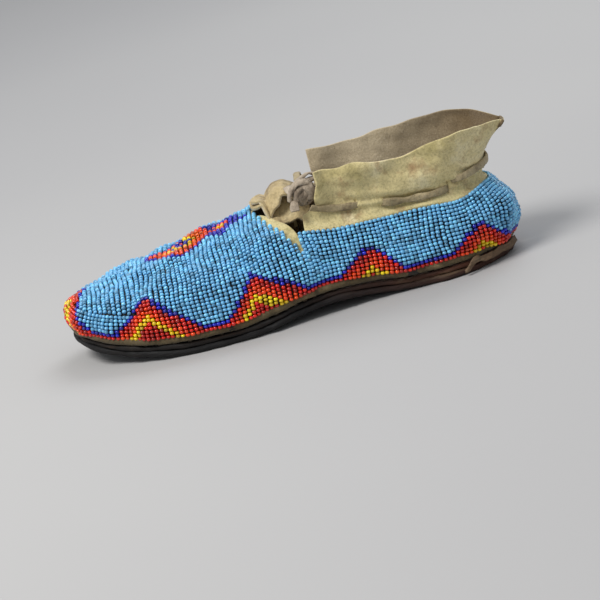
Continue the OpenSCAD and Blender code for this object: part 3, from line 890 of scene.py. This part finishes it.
def sole_rings(margin, z_low, z_high, seed, corner):
    """Rings of a sole layer from the middle of its underside, round its edge, to the middle of its top."""
    u = np.linspace(-1, 1, 420, endpoint=False)
    inset = 7.0  # from the feather line in to where the flat faces start
    spread = (0.0, 0.3, 0.55, 0.8, 1.0)
    half_edge = [(-3.0, 0.0), (-corner, 0.0), (-corner * 0.3, 0.09), (0.0, 0.3)]
    profile = half_edge + [(0.05, 0.5)] + [(m, 1 - t) for m, t in half_edge[::-1]]
    bottom, top = [("in", f, 0.0) for f in spread], [("in", f, 1.0) for f in spread[::-1]]
    side = [("out", m, t) for m, t in profile]
    o, n = edge(u), edge_out(u)
    flat = with_z(o, base_z(o[:, 1]))
    rings = []
    for kind, value, share in bottom + side + top:
        if kind == "out":
            ragged = wobble(flat, 26, seed) * 0.6 + wobble(flat, 7, seed + 1) * 0.35
            q = o + n * (margin + value + 0.6 * ragged)[:, None]
        else:
            q = o - n * inset
            q[:, 0] = mix(centre_x(np.clip(q[:, 1], TOE_Y, HEEL_Y)), q[:, 0], value)
        p = with_z(q, base_z(q[:, 1]) + mix(z_low, z_high, share))
        uneven = 0.16 * wobble(p, 19, seed + 2) + 0.1 * wobble(p, 5, seed + 3)
        p[:, 2] += uneven * (0.35 if share < 0.5 else 1)
        rings.append(p)
    return np.array(rings)


def ring_piece(name, rings, material):
    return weld(quad_mesh(name, rings, ring_quads(*rings.shape[:2]), [material]), 0.02)


def strip_piece(name, rows, material, slot, node):
    """A strip whose section was carried along a path: one row of points for each corner of the section."""
    grid = np.array(rows)
    placed(weld(quad_mesh(name, grid, grid_quads(*grid.shape[:2]), [material])), "root", slot, node)


def make_soles():
    outsole = sole_rings(2.2, 0.0, OUTSOLE_T - 0.05, 21, 1.3)
    outsole[..., 2] = np.maximum(outsole[..., 2], base_z(outsole[..., 1]))
    placed(ring_piece("outsole_rawhide", outsole, OUTSOLE), "root", "rawhide", "outsole")
    midsole = sole_rings(1.7, OUTSOLE_T + 0.15, OUTSOLE_T + MIDSOLE_T - 0.1, 31, 1.0)
    placed(ring_piece("midsole_rawhide", midsole, MIDSOLE), "root", "rawhide", "midsole")
    make_welt()


def make_welt():
    u = np.linspace(-1, 1, 420)
    o, n = edge(u), edge_out(u)
    z0 = OUTSOLE_T + MIDSOLE_T
    # The strip's section: distance out from the feather line and height above the midsole
    section = [(-6.5, 0.15), (-1.2, 0.05), (-0.4, 0.35), (-0.2, 0.75), (-0.4, 1.15), (-1.2, 1.38),
               (-6.5, 1.3), (-6.5, 0.15)]
    rows = []
    for m, t in section:
        q = o + n * (m + 0.12 * wobble(with_z(o, 0 * o[:, 0]), 6, 41))[:, None]
        rows.append(with_z(q, base_z(q[:, 1]) + z0 + t))
    strip_piece("welt_strip", rows, WELT, "rawhide", "welt")


def make_loose_welt():
    """The end of the welt, which has come away at the outer side of the heel and curls out and down."""
    a, b = steps_with_ends(46, 0.03), steps_with_ends(8, 0.12)
    u = mix(float(k_at(HEEL_Y - 1.0)), float(k_at(82.0)), a)
    o, n = edge(u), edge_out(u)
    curl = ease((a - 0.72) / 0.28)
    out = 3.9 + 1.3 * ease((a - 0.75) / 0.25)
    narrow = 1 - 0.55 * ease((a - 0.9) / 0.1)
    grid = np.zeros((len(a), len(b), 3))
    for j, t in enumerate(b):
        lean = (1.3 - 1.6 * t) * (1 - curl) + 1.6 * curl * np.sin(np.pi * t)
        q = o + n * (out + lean * 0.6)[:, None]
        z = base_z(o[:, 1]) + 5.4 + 3.2 * (t - 0.5) * narrow + 1.2 * np.sin(np.pi * curl) - 2.6 * curl**2
        grid[:, j] = with_z(q, z + 0.35 * np.sin(a * 17))
    share = np.outer(edge_round(a, 0.03), edge_round(b, 0.12))
    grid = grid + 0.25 * wobble(grid, 5, 51)[..., None]
    materials = [CURLED_WELT, CURLED_WELT]
    piece = sheet_piece("loose_welt_end_strip", grid, normals_of(grid), 1.2, share, materials)
    placed(piece, "root", "rawhide", "loose_welt_end")


def hide_height_share(y, h):
    """The share s of the way in from the edge at which the vamp is h millimetres high."""
    w = toe_share(y)
    b = np.clip(h / (ridge_z(y) - feather_z(y)), 0, 1)
    return 1 - (1 - b ** (1 / mix(0.46, 0.19, w))) ** (1 / mix(2.2, 5, w))


def on_hide(u, h):
    y = along(np.abs(u))
    front = vamp_at(u, hide_height_share(y, h))
    back = wall_at(u, h)
    return np.where((y < NOTCH_Y)[..., None], front, back)


def make_hem():
    """The turned-out lower edge of the upper, gathered into the sole's seam."""
    u = np.linspace(0.996, -0.996, 700)
    # The strip's section: height above its foot and distance out from the hide
    section = [(-0.3, 0.6), (-0.5, 1.7), (0.2, 2.7), (1.2, 3.1), (2.3, 3.0), (3.2, 2.6), (3.7, 1.9),
               (3.6, 1.2), (1.5, 0.9), (-0.3, 0.6)]
    arc = arc_of(edge(u))
    gather = 0.22 * np.sin(arc / 2.7 + 1.3 * np.sin(arc / 19))
    gather += 0.1 * np.sin(arc / 1.1 + 2 * np.sin(arc / 31))
    foot_h = 1.7
    base, n = on_hide(u, np.full(len(u), foot_h)), edge_out(u)
    rows = []
    for h, t in section:
        out = t - 0.3 + gather * (1 if h > 0 else 0.4) + 0.25 * wobble(base, 13, 61)
        q = base[:, :2] + n * out[:, None]
        rows.append(with_z(q, base[:, 2] - foot_h + h + 0.2 * wobble(base, 17, 62)))
    strip_piece("sole_hem_strip", rows, HEM, "hide", "sole_hem")


# ---------------------------------------------------------------- stitches
SOLE_STITCHES, COLLAR_STITCHES = 88, 26  # all round the sole, and on each side of the collar
HEEL_STITCHES_Z = (41.5, 44.5, 54.5, 58.0, 61.5, 65.0)


def thread_stitch(start, end, out, radius, arch):
    """Vertices and quads of a short stitch that rises from start, arches outwards and goes back in at end."""
    segments, around = 7, 8
    start, end, out = np.array(start), np.array(end), np.array(out)
    t = np.linspace(0, 1, segments)
    line = start + (end - start) * t[:, None] + out * (arch * np.sin(np.pi * t))[:, None]
    along_line = unit(np.gradient(line, axis=0))
    b = unit(np.cross(along_line, out))
    c = np.cross(b, along_line)
    turn = full_turn(around)
    r = radius * np.sqrt(np.clip(1 - (2 * t - 1) ** 8, 0.02, 1))[:, None, None]
    verts = line[:, None] + r * (b[:, None] * np.cos(turn)[:, None] + c[:, None] * np.sin(turn)[:, None])
    caps = [[0, 1, 2, 3], [0, 3, 4, 7], [4, 5, 6, 7]]
    last = (segments - 1) * around
    ends = [q[::-1] for q in caps] + [[last + v for v in q] for q in caps]
    return verts.reshape(-1, 3), np.concatenate([ring_quads(segments, around), np.array(ends)])


def stitch_piece(name, stitches, material=SINEW):
    verts, quads, first = [], [], 0
    for v, q in stitches:
        verts.append(v)
        quads.append(q + first)
        first += len(v)
    return quad_mesh(name, np.concatenate(verts), np.concatenate(quads), [material])


def make_stitches():
    sole = []
    for i in range(SOLE_STITCHES):
        u = mix(-0.985, 0.985, i / (SOLE_STITCHES - 1))
        o, n = edge(np.array(u)), edge_out(np.array(u))
        t = np.array([-n[1], n[0]])
        z = float(base_z(o[1])) + OUTSOLE_T + MIDSOLE_T + 0.45
        at = np.append(o + n * 0.35, z)
        along_edge = np.append(t, 0) * 1.3
        sole.append(thread_stitch(at - along_edge, at + along_edge, np.append(n, 0.25), 0.42, 0.3))
    placed(stitch_piece("sole_stitch_thread", sole, SOILED_SINEW), "root", "sinew", "sole_stitches")

    collar = []
    for side in (-1, 1):
        for i in range(COLLAR_STITCHES):
            k = mix(0.03, 0.97, i / (COLLAR_STITCHES - 1))
            y = round_y(k, HEEL_Y)
            q = collar_skin_point(side, k, quarter_top(y) + 0.9)
            out = np.append(edge_out(side * k_at(y)), 0)
            start, end = q + out * 0.2 - [0, 0.5, 1.5], q + out * 0.2 + [0, 0.5, 0.6]
            collar.append(thread_stitch(start, end, out, 0.3, 0.25))
    placed(stitch_piece("collar_stitch_thread", collar), "root", "sinew", "collar_stitches")

    heel = []
    for z in HEEL_STITCHES_Z:
        start, end = [collar_skin_point(side, 0.985, z) + [0, -0.2, 0.4 * side] for side in (-1, 1)]
        heel.append(thread_stitch(start, end, [0, 1, 0], 0.4, 0.6))
    placed(stitch_piece("heel_seam_thread", heel), "root", "sinew", "heel_seam_stitches")


# ---------------------------------------------------------------- the hide of the upper
def make_upper():
    a = np.concatenate([np.linspace(0, 1, 150)[:-1], [0.996, 0.999, 1.0]])
    b = steps_with_ends(120, 0.006)
    u = np.where(b[None, :] < 0.5, 1, -1) * a[:, None] * K_NOTCH
    v = 1 - np.abs(2 * b - 1)
    grid = vamp_cut(u, v[None, :] + 0 * u)
    upward = (75, 60, 2)  # a point near the ridge, where the hide faces up
    middle = grid + outward(grid, upward) * (HIDE_T / 2 + pucker(grid))[..., None]
    middle[0] = (middle[0] + middle[0][::-1]) / 2
    share = np.outer(edge_round(a, 0.004, open_low=True), edge_round(b, 0.006))
    # Its outer face is painted near-black under the beads, as painted shade between them
    piece = sheet_piece("vamp_hide", middle, outward(middle, upward), HIDE_T, share,
                        [HIDE_UNDER_BEADS_PAINTED_SHADE, HIDE_INSIDE, COLLAR], fold_row=True)
    # The margin along the notch is bare hide in the collar's colour, without the painted shade put under the
    # beads
    for face in piece.data.polygons:
        y, z = face.center.y / MM, face.center.z / MM
        height = z - float(feather_z(y))
        depth = float(bead_cut_depth(hide_height_share(np.array(y), np.array(height))))
        if y > NOTCH_Y - 1.2 - depth and height > NOTCH_H - 4:
            face.material_index = 2
    placed(piece, "root", "hide", "vamp")
    for side, name in SIDES:
        make_quarter(side, name)


def make_quarter(side, name):
    front_y = NOTCH_Y + 0.6
    front = float(k_at(front_y))
    a, b = steps_with_ends(110, 0.007), steps_with_ends(40, 0.02)
    k = mix(front, 0.9985, a)[:, None] + 0 * b
    y = along(k)
    h = b[None, :] * (quarter_top(y) - feather_z(y))
    k = k + (k_at(front_y + front_lean(h)) - front) * (1 - a[:, None])
    grid = wall_at(side * k, h)
    outer = (50, 20, 0)  # a point near the middle, where the hide faces sideways
    middle = grid + outward(grid, outer, side) * (HIDE_T / 2 + pucker(grid))[..., None]
    share = np.outer(edge_round(a, 0.007), edge_round(b, 0.02))
    normals = outward(middle, outer, side)
    # The outer face is painted near-black under the beads, as painted shade between them
    materials = [HIDE_UNDER_BEADS_PAINTED_SHADE, HIDE_INSIDE]
    piece = sheet_piece(f"{name}_quarter_hide", middle, normals, HIDE_T, share, materials)
    placed(piece, "root", "hide", f"{name}_quarter")


# ---------------------------------------------------------------- collar and ankle flaps
# Where the lace goes in or out of the collar: place along the foot and height
SLITS = [(37.2, 48.6), (52.6, 46.2), (86.2, 44.2), (97.5, 47.6)]
SLIT_DEPTH = 1.3


def rim_height(side, y):
    """Height of the collar's rim: wavy from handling, lower on the outer side behind the middle."""
    rim = RIM_Z - 4.5 * ease((y - 104) / 18) + 0.5 * np.sin(y / 7.0 + side) + 0.25 * np.sin(y / 2.9)
    if side > 0:
        return rim - 4.2 * bell((y - 62) / 17) - 0.8 * bell((y - 33) / 6)
    return rim + 2.2 * bell((y - 86) / 14) - 0.8 * bell((y - 45) / 12)


def collar_fold(points):
    """Soft creases that run from the lace's slits."""
    y, z = points[..., 1], points[..., 2]
    push = 0.9 * wobble(points * np.array([1, 1, 1.7]), 27, 71) + 0.28 * wobble(points, 8, 72)
    for sy, sz in SLITS:
        near = bell((y - sy) / 7) * bell((z - sz) / 5)
        push += near * (0.9 * np.cos((z - sz) * 1.05 + (y - sy) * 0.25))
    crease = z - 47.5 - 2.2 * np.sin(y / 15)
    push -= 1.1 * bell(crease / 3.2) * ease((y - 26) / 8) * (1 - ease((y - 92) / 12))
    push = push * np.where(points[..., 0] < 0, 0.5, 1.0)  # the inner side stands smoother
    return push * ease((z - 40) / 5) * (1 - ease((y - 103) / 9))


def slit_depth(points):
    """Share of its full depth to which the skin is drawn in: each slit is a narrow upright opening."""
    y, z = points[..., 1], points[..., 2]
    depth = np.zeros(points.shape[:-1])
    for sy, sz in SLITS:
        lean = (z - sz) * 0.25
        inside = 1 - ((y - sy - lean) / 1.0) ** 2 - ((z - sz) / 3.3) ** 2
        depth = np.maximum(depth, np.clip(inside, 0, 1) ** 0.5)
    return depth


def collar_skin_point(side, k, z):
    """The collar's face with the shape it has been worn into."""
    k, z = np.asarray(k, float), np.asarray(z, float)
    p = collar_at(side, k, z + 0 * k)
    # It rolls out a little over the quarter's rim
    low_y = round_y(k, HEEL_Y)
    over = bell((z - quarter_top(low_y) - 1.3) / 1.5)
    out = edge_out(side * np.minimum(k_at(low_y), LAST_K))
    p[..., :2] += out * (mix(1.2, 2.6, ease((low_y - 84) / 22)) * over)[..., None]
    # The heel seam is pinched into a thin fold towards the rim, and gapes at its end
    y, zz = p[..., 1], p[..., 2]
    pinch = ease((y - 108) / 12) * ease((zz - 54) / 12)
    p[..., 0] *= 1 - 0.62 * pinch
    p[..., 1] += 2.6 * pinch * ease((zz - 58) / 10)
    gape = bell((k - 0.95) / 0.03) * ease((zz - 59) / 7)
    p[..., 0] += side * 3.0 * gape
    # The front of the outer flap curls out round the knot
    curl = ease((31 - y) / 12) ** 2 * ease((zz - 51) / 7)
    p[..., 0] += side * (4.4 if side > 0 else 0.6) * curl
    return p


def collar_grid(side):
    """Steps along and up the collar, and the points of its skin at them."""
    a, b = steps_with_ends(210, 0.006), steps_with_ends(96, 0.012)
    aa, bb = np.meshgrid(a, b, indexing="ij")

    def height_at(k):
        low = quarter_top(round_y(k, HEEL_Y)) - 4.5  # its lower edge lies inside the quarter
        return mix(low, rim_height(side, round_y(k, cuff_heel_y(66.0))), bb)

    z = height_at(COLLAR_END_K * aa)
    # Above the lace the front edge lies further back
    front_y = FLAP_FRONT_Y - (2.6 * ease((66 - z) / 8) if side > 0 else 0)
    front_k = 0.5 * (front_y - COLLAR_FRONT_Y) / (CUFF_MID_Y - COLLAR_FRONT_Y) * ease((z - 49) / 6)
    k = front_k + (COLLAR_END_K - front_k) * aa
    return a, b, collar_skin_point(side, k, height_at(k))


def make_collar():
    for side, name in SIDES:
        a, b, grid = collar_grid(side)
        outer = (60, 50, 0)  # a point near the middle, where the skin faces sideways
        push = collar_fold(grid) - COLLAR_T / 2 - SLIT_DEPTH * slit_depth(grid)
        middle = grid + outward(grid, outer, side) * push[..., None]
        share = np.outer(edge_round(a, 0.006), edge_round(b, 0.012))
        normals = outward(middle, outer, side)
        piece = sheet_piece(f"{name}_collar_skin", middle, normals, COLLAR_T, share, [COLLAR, COLLAR_INSIDE])
        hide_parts(f"{name}_collar", f"{name}_ankle_flap")
        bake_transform(piece)


# ---------------------------------------------------------------- tongue
def tongue_sheet(name, front_y, back_y, half_at, lift_at, seed):
    """A sheet over the instep: half_at(y) is half its width, lift_at(x, y) is its height over the upper."""
    a, b = steps_with_ends(110, 0.012), steps_with_ends(80, 0.012)
    aa, bb = np.meshgrid(a, b, indexing="ij")
    y = mix(front_y, back_y, aa)
    x = RIDGE_X + half_at(y) * (1 - 2 * bb)
    side = np.where(x < RIDGE_X, -1.0, 1.0)
    s = 1 - np.clip(np.abs(x - RIDGE_X) / (reach(side, y) - 1), 0, 1)
    z = feather_z(y) + (ridge_z(y) - feather_z(y)) * vault(s, y) + lift_at(x - RIDGE_X, y)
    grid = np.stack([x, y, z], -1)
    grid[..., 2] += 0.35 * wobble(grid, 11, seed) + 0.12 * wobble(grid, 4, seed + 1)
    share = np.outer(edge_round(a, 0.012), edge_round(b, 0.012))
    piece = sheet_piece(name, grid, outward(grid, (40, 45, 2)), 1.6, share, [TONGUE, COLLAR_INSIDE])
    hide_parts("tongue")
    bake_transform(piece)


def make_tongue():
    """Its doubled lip lies on the beads, a hollow bulge rises behind it and the rest runs into the shoe."""
    def lip_half(y):
        return 12.5 * (1 - 0.4 * np.clip((-10.5 - y) / 4.5, 0, 1) ** 2) + 7.5 * ease((y + 10) / 5)

    def body_half(y):
        return mix(lip_half(y) - 0.8, 16 - 5 * ease((y - 7) / 10), ease((y + 9) / 4))

    def body_lift(x, y):
        bulge = bell(((y - 1.2) / 5.2) ** 2)
        groove = bell((y + 6.6) / 1.7)
        lip = 1 - ease((y + 10) / 4)
        # The outer side stands open behind the lip, the inner side is drawn down on to the upper
        down = 5.5 * ease((-x - 7) / 7) + 3.8 * ease((x - 8) / 7) * (1 - ease((y + 1) / 4)) * (1 - lip)
        rise = 2.6 * lip * ease((x - 3) / 9) + 2.4 * bulge * (1 - 0.25 * ease((x - 8) / 8))
        return 6.6 + rise - 1.9 * groove - 9.5 * ease((y - 7) / 10) - down

    def lip_lift(x, y):
        # Behind the lip this layer runs on under the bulge, and its sides are tucked under the upper's edge
        curl = 1.7 * ease((x - 3) / 9) * (1 - ease((y + 9) / 3))
        tucked = 5.4 * ease((np.abs(x) - 6) / 8) * ease((y + 9) / 4)
        dip = 1.6 * ease((y + 5) / 5) + 5 * ease((y - 7) / 8)
        return 4.7 + curl + 0.5 * ease((-12 - y) / 3) - dip - tucked

    tongue_sheet("tongue_hide", -14.0, 27.0, body_half, body_lift, 81)
    tongue_sheet("tongue_lip_hide", -15.0, 15.0, lip_half, lip_lift, 84)


# ---------------------------------------------------------------- lace
# The lace's route on each side: place along the foot, height, and distance out from the collar's face
LACE_SIDE_ROUTE = [(15, 54, 1.8), (18.5, 52.2, 1.6), (22, 51.2, 1.4), (26.5, 50.2, 1.2), (31, 49.4, 1.0),
                   (35, 49, 0.6), (37.5, 48.6, -0.7), (40, 48.2, -2.3), (45, 47.4, -2.5), (50, 46.6, -2.3),
                   (52.5, 46.2, -0.7), (55, 45.8, 0.8), (62, 45, 1.1), (70, 44.4, 1.2), (78, 44, 1.1),
                   (84, 44, 0.8), (86.5, 44.2, -0.7), (89, 44.6, -2.3), (92, 45.4, -2.4), (95, 46.6, -2.3)]
DRAWN_LACE_W = 3.8  # its width where it is drawn tight along the collar
# The knot's middle; its loops stand up above the place where the thongs meet
LACE_KNOT_AT = np.array([21.0, 12.0, 58.5])
KNOT_SWELL = np.array([0.0, 2.0, 3.0])
# The two strands of the bight stand up from the knot and go in behind the outer flap
LACE_BIGHT_ROUTE = [(22.5, 5.6, 58.5), (23, 6.6, 62.6), (22.6, 9.6, 66.4), (21.4, 14, 69), (19.2, 18.8, 70),
                    (17, 23.5, 67.5)]
LACE_LOOP_ROUTE = [(23.8, 9, 58.5), (24, 10, 62.2), (23.2, 12.6, 65), (21.8, 16.6, 66.8), (19.8, 20.6, 67),
                   (18, 24.5, 65)]
# The inner side's thong goes on over the tongue to the knot
LACE_CROSS_ROUTE = [(15.5, 12.5, 61.6), (8, 12.5, 64.4), (-2, 12.5, 65.2), (-12, 13, 63.8), (-19, 13.6, 60),
                    (-23, 14.4, 56.4)]
# The two ends that hang from the knot, one over the notch and one over the tongue
LACE_END_ROUTES = [
    [(23.5, 8, 58.5), (26.5, 7.4, 57), (28.4, 7.2, 54.5)],
    [(18, 8, 61.5), (14.5, 6.8, 63), (11, 6.2, 63.8)]]


def smooth_path(points, count):
    """A smooth curve through the points, at even steps (Catmull-Rom)."""
    p = np.array(points, float)
    p = np.concatenate([[2 * p[0] - p[1]], p, [2 * p[-1] - p[-2]]])
    out = []
    for i in range(1, len(p) - 2):
        for t in np.linspace(0, 1, 12, endpoint=False):
            a, b, c, d = p[i - 1], p[i], p[i + 1], p[i + 2]
            bend, twist = 2 * a - 5 * b + 4 * c - d, 3 * b - a - 3 * c + d
            out.append(0.5 * (2 * b + (c - a) * t + bend * t**2 + twist * t**3))
    out.append(p[-2])
    out = np.array(out)
    arc = arc_of(out[:, :3])
    at = np.linspace(0, arc[-1], count)
    return on_path(at, arc, out)


def collar_k(y):
    """The place k at which round_y gives y."""
    front = 0.5 * (y - COLLAR_FRONT_Y) / (CUFF_MID_Y - COLLAR_FRONT_Y)
    back = 0.5 + np.arcsin(np.clip((y - CUFF_MID_Y) / (HEEL_Y - CUFF_MID_Y), 0, 1)) / np.pi
    return np.where(y < CUFF_MID_Y, front, back)


def thong(name, path, face, width, thick, material, seed, closed=False):
    """A flat thong along a path, with soft round edges, uneven width and a slight twist."""
    path = np.array(path, float)
    count, around = len(path), 18
    if closed:
        d = unit(np.roll(path, -1, 0) - np.roll(path, 1, 0))
    else:
        d = unit(np.gradient(path, axis=0))
    side = unit(np.cross(face, d))
    up = unit(np.cross(d, side))
    roll = 0.14 * wobble(path, 16, seed)
    side, up = (side * np.cos(roll)[:, None] + up * np.sin(roll)[:, None],
                up * np.cos(roll)[:, None] - side * np.sin(roll)[:, None])
    turn = full_turn(around)
    cx = np.sign(np.cos(turn)) * np.abs(np.cos(turn)) ** 0.55
    cy = np.sign(np.sin(turn)) * np.abs(np.sin(turn)) ** 0.7
    t = np.linspace(0, 1, count)
    grow = np.ones(count)
    if not closed:
        for from_end in (t, 1 - t):
            grow = grow * np.sqrt(np.clip(1 - (1 - np.clip(from_end / 0.012, 0, 1)) ** 2, 0.0, 1))
    w = width / 2 * (1 + 0.09 * wobble(path, 9, seed + 1)) * np.maximum(grow, 0.02)
    h = thick / 2 * (1 + 0.12 * wobble(path, 7, seed + 2)) * np.maximum(grow**0.5, 0.02)
    cup = 0.22 * cx**2  # the edges curl back a little as the hide dries
    verts = (path[:, None] + side[:, None] * (cx[None] * w[:, None])[..., None]
             + up[:, None] * ((cy[None] - cup[None]) * h[:, None])[..., None])
    verts = verts + 0.10 * wobble(verts, 2.6, seed + 3)[..., None] * up[:, None]
    quads = ring_quads(count, around, closed)[:, [0, 3, 2, 1]]
    if not closed:
        half = around // 2
        cap = [[j, j + 1, around - 2 - j, around - 1 - j] for j in range(half - 1)]
        first = (count - 1) * around
        quads = np.concatenate([quads, cap, [[first + v for v in q[::-1]] for q in cap]])
    return weld(quad_mesh(name, verts, quads, [material]))


def collar_route(side, rows):
    """Points and outward directions along a route given by place along the foot, height and distance out."""
    rows = np.array(rows)
    k = collar_k(rows[:, 0])
    on = collar_skin_point(side, k, rows[:, 1])
    beside = collar_skin_point(side, k + 0.01, rows[:, 1]) - on
    out = unit(side * np.stack([beside[:, 1], -beside[:, 0], 0 * k], -1))
    lift = rows[:, 2] + np.clip(collar_fold(on), -0.8, 0.8) + 0.35
    return np.concatenate([on + out * lift[:, None], out], 1)


def make_laces():
    for side, name in SIDES:
        route = collar_route(side, LACE_SIDE_ROUTE)
        if side < 0:
            cross = np.array(LACE_CROSS_ROUTE)
            out = np.stack([cross[:, 0] / 20, 0 * cross[:, 0], 1 + 0 * cross[:, 0]], -1)
            route = np.concatenate([np.concatenate([cross, unit(out)], 1), route])
        path = smooth_path(route, 190)
        face = unit(path[:, 3:])
        piece = thong(f"{name}_lace_thong", path[:, :3], face, DRAWN_LACE_W, LACE_T, LACE, 90 + side)
        placed(piece, "root", "lace_hide", f"{name}_lace")
    # Round the heel, from the outer side to the inner
    a = np.linspace(-1, 1, 120)
    side = np.where(a < 0, 1.0, -1.0)
    k = 1 - 0.3 * np.abs(a)
    z = mix(50, 47.6, a * a)
    on = np.stack([collar_at(s, np.array(kk), np.array(zz)) for s, kk, zz in zip(side, k, z)])
    out = np.stack([np.sin(np.radians(-a * 62)), np.cos(np.radians(a * 62)), 0 * a], -1)
    lift = 1.3 - 3.4 * ease((np.abs(a) - 0.86) / 0.14)
    piece = thong("heel_lace_thong", on + out * lift[:, None], out, DRAWN_LACE_W, LACE_T, LACE, 97)
    placed(piece, "root", "lace_hide", "heel_lace")


def make_knot():
    """An overhand knot pulled tight, with a second turn of the thong round it and one more inside."""
    t = np.linspace(0, 2 * np.pi, 240, endpoint=False)
    loop = np.stack([np.sin(t) + 2 * np.sin(2 * t), np.cos(t) - 2 * np.cos(2 * t), -np.sin(3 * t)], -1)
    loop *= np.array([2.0, 2.0, 2.3])
    loop_face = unit(loop + 1e-3)
    turn = np.array(Matrix.Rotation(math.radians(52), 3, "X") @ Matrix.Rotation(math.radians(28), 3, "Y"))
    inner = np.stack([1.3 * np.cos(t), 1.9 * np.sin(t), 2.6 * np.cos(t + 0.6)], -1)
    band = np.stack([2.6 * np.cos(t), 5.4 * np.sin(t), 6.4 * np.cos(t)], -1)
    lean = np.stack([3.4 * np.cos(t), 3.6 * np.sin(t + 0.5), 6.0 * np.sin(t)], -1)
    turns = [("loops", loop @ turn.T, loop_face @ turn.T, 4.2, 2.0), ("core", inner, unit(inner), 4.6, 3.2),
             ("turn", band, unit(band), 4.2, 1.7), ("second_turn", lean, unit(lean), 3.6, 1.6)]
    for i, (part, path, out, width, thick) in enumerate(turns):
        path = path + LACE_KNOT_AT + KNOT_SWELL
        piece = thong(f"lace_knot_{part}", path, out, width, thick, KNOT_PAINTED_LIGHT, 101 + 4 * i, closed=True)
        placed(piece, "root", "lace_hide", "lace_knot")
    # Each strand faces away from a line above the knot
    for part, route, count, away, line_y, width, thick, seed in (
            ("bight", LACE_BIGHT_ROUTE, 90, (0.4, 0.25, 1.0), 20, 3.6, 1.6, 121),
            ("loop", LACE_LOOP_ROUTE, 80, (1.2, 0.2, 0.3), 18, 4.0, 1.8, 125)):
        path = smooth_path(route, count)
        out = unit(np.stack([1 + 0 * path[:, 0], path[:, 1] - line_y, path[:, 2] - 60], -1) * away)
        piece = thong(f"lace_knot_{part}", path, out, width, thick, KNOT_PAINTED_LIGHT, seed)
        placed(piece, "root", "lace_hide", "lace_knot")
    for i, route in enumerate(LACE_END_ROUTES):
        path = smooth_path(route, 70)
        out = unit(np.stack([path[:, 0] / 40, 0 * path[:, 0], np.ones(len(path))], -1))
        end = thong(f"lace_end_{i + 1}", path, out, LACE_W, LACE_T, KNOT_PAINTED_LIGHT, 130 + 5 * i)
        placed(end, "root", "lace_hide", "lace_ends")


# ---------------------------------------------------------------- the camera, light and floor
def make_camera():
    """Looks at the outer side from a little above, tipped so that the toe points down and to the left."""
    target = Vector((0.0, -2.5, 0.5)) * MM
    azimuth, elevation, roll = 0.0107, 0.2768, -0.2626  # radians
    distance, focal_px, image_px, sensor = 1438.8 * MM, 2742.0, 600.0, 36.0
    flat = math.cos(elevation)
    d = Vector((flat * math.cos(azimuth), flat * math.sin(azimuth), math.sin(elevation)))
    right = (-d).cross(Vector((0, 0, 1))).normalized()
    up = right.cross(-d)
    right2 = right * math.cos(roll) + up * math.sin(roll)
    up2 = up * math.cos(roll) - right * math.sin(roll)
    camera = bpy.data.objects.new("camera", bpy.data.cameras.new("camera"))
    camera.data.sensor_width = sensor
    camera.data.lens = focal_px / image_px * sensor
    camera.data.clip_end = 20
    turn = Matrix((right2, up2, d)).transposed().to_4x4()
    camera.matrix_world = Matrix.Translation(target + d * distance) @ turn
    bpy.context.scene.collection.objects.link(camera)
    bpy.context.scene.camera = camera


def area_light(name, place, aim, size, power, colour):
    light = bpy.data.lights.new(name, "AREA")
    light.shape, light.size, light.energy, light.color = "DISK", size, power, colour
    obj = bpy.data.objects.new(name, light)
    obj.location = place
    obj.rotation_euler = (Vector(aim) - Vector(place)).to_track_quat("-Z", "Y").to_euler()
    bpy.context.scene.collection.objects.link(obj)


def make_stage():
    n = Nodes("studio_floor")
    soft = n.noise(700, 2, 0.5)
    colour = n.ramp(soft, [(0.3, (175, 174, 174)), (0.7, (180, 179, 178))])
    floor_material = n.done(colour, n.span(soft, 0.3, 0.7, 0.85, 0.95), 0.1)
    mesh = bpy.data.meshes.new("floor")
    half = 6.0
    corners = [(-half, -half, 0), (half, -half, 0), (half, half, 0), (-half, half, 0)]
    mesh.from_pydata(corners, [], [(0, 1, 2, 3)])
    floor = bpy.data.objects.new("floor", mesh)
    floor.location.z = cad_box[0].z - 0.2 * MM
    mesh.materials.append(floor_material)
    bpy.context.scene.collection.objects.link(floor)
    world = bpy.data.worlds.new("studio")
    world.use_nodes = True
    background = world.node_tree.nodes["Background"]
    background.inputs["Color"].default_value = (0.93, 0.96, 1.0, 1)
    background.inputs["Strength"].default_value = 0.46
    bpy.context.scene.world = world
    bpy.context.scene.view_settings.view_transform = "Standard"
    area_light("key", (0.55, -0.75, 1.35), (0, 0, 0.02), 0.8, 21.0, (1.0, 0.985, 0.96))
    area_light("fill", (-0.9, 0.5, 1.3), (0, 0, 0.03), 1.0, 10.0, (0.95, 0.97, 1.0))


def make_beads():
    beads = vamp_beads()
    low = beads["height"] < LANE
    border = bead_piece("toe_border_beads", picked(beads, low), 201)
    placed(border, "root", "border_beads", "toe_border_beadwork")
    for side, name in SIDES:
        top = picked(beads, ~low & (beads["u"] * side > 0))
        placed(bead_piece(f"vamp_beads_{name}", top, 202 + side), "root", "blue_beads", "vamp_beadwork")
        lower, upper = quarter_columns(side)
        for lane, strung, slot, seed in (("lower", lower, "border_beads", 206),
                                         ("upper", upper, "blue_beads", 210)):
            piece = bead_piece(f"{name}_{lane}_beads", strung, seed + side)
            placed(piece, "root", slot, f"{name}_{lane}_beadwork")


make_camera()
make_stage()
make_soles()
make_loose_welt()
make_hem()
make_upper()
make_stitches()
make_collar()
make_tongue()
make_laces()
make_knot()
make_beads()
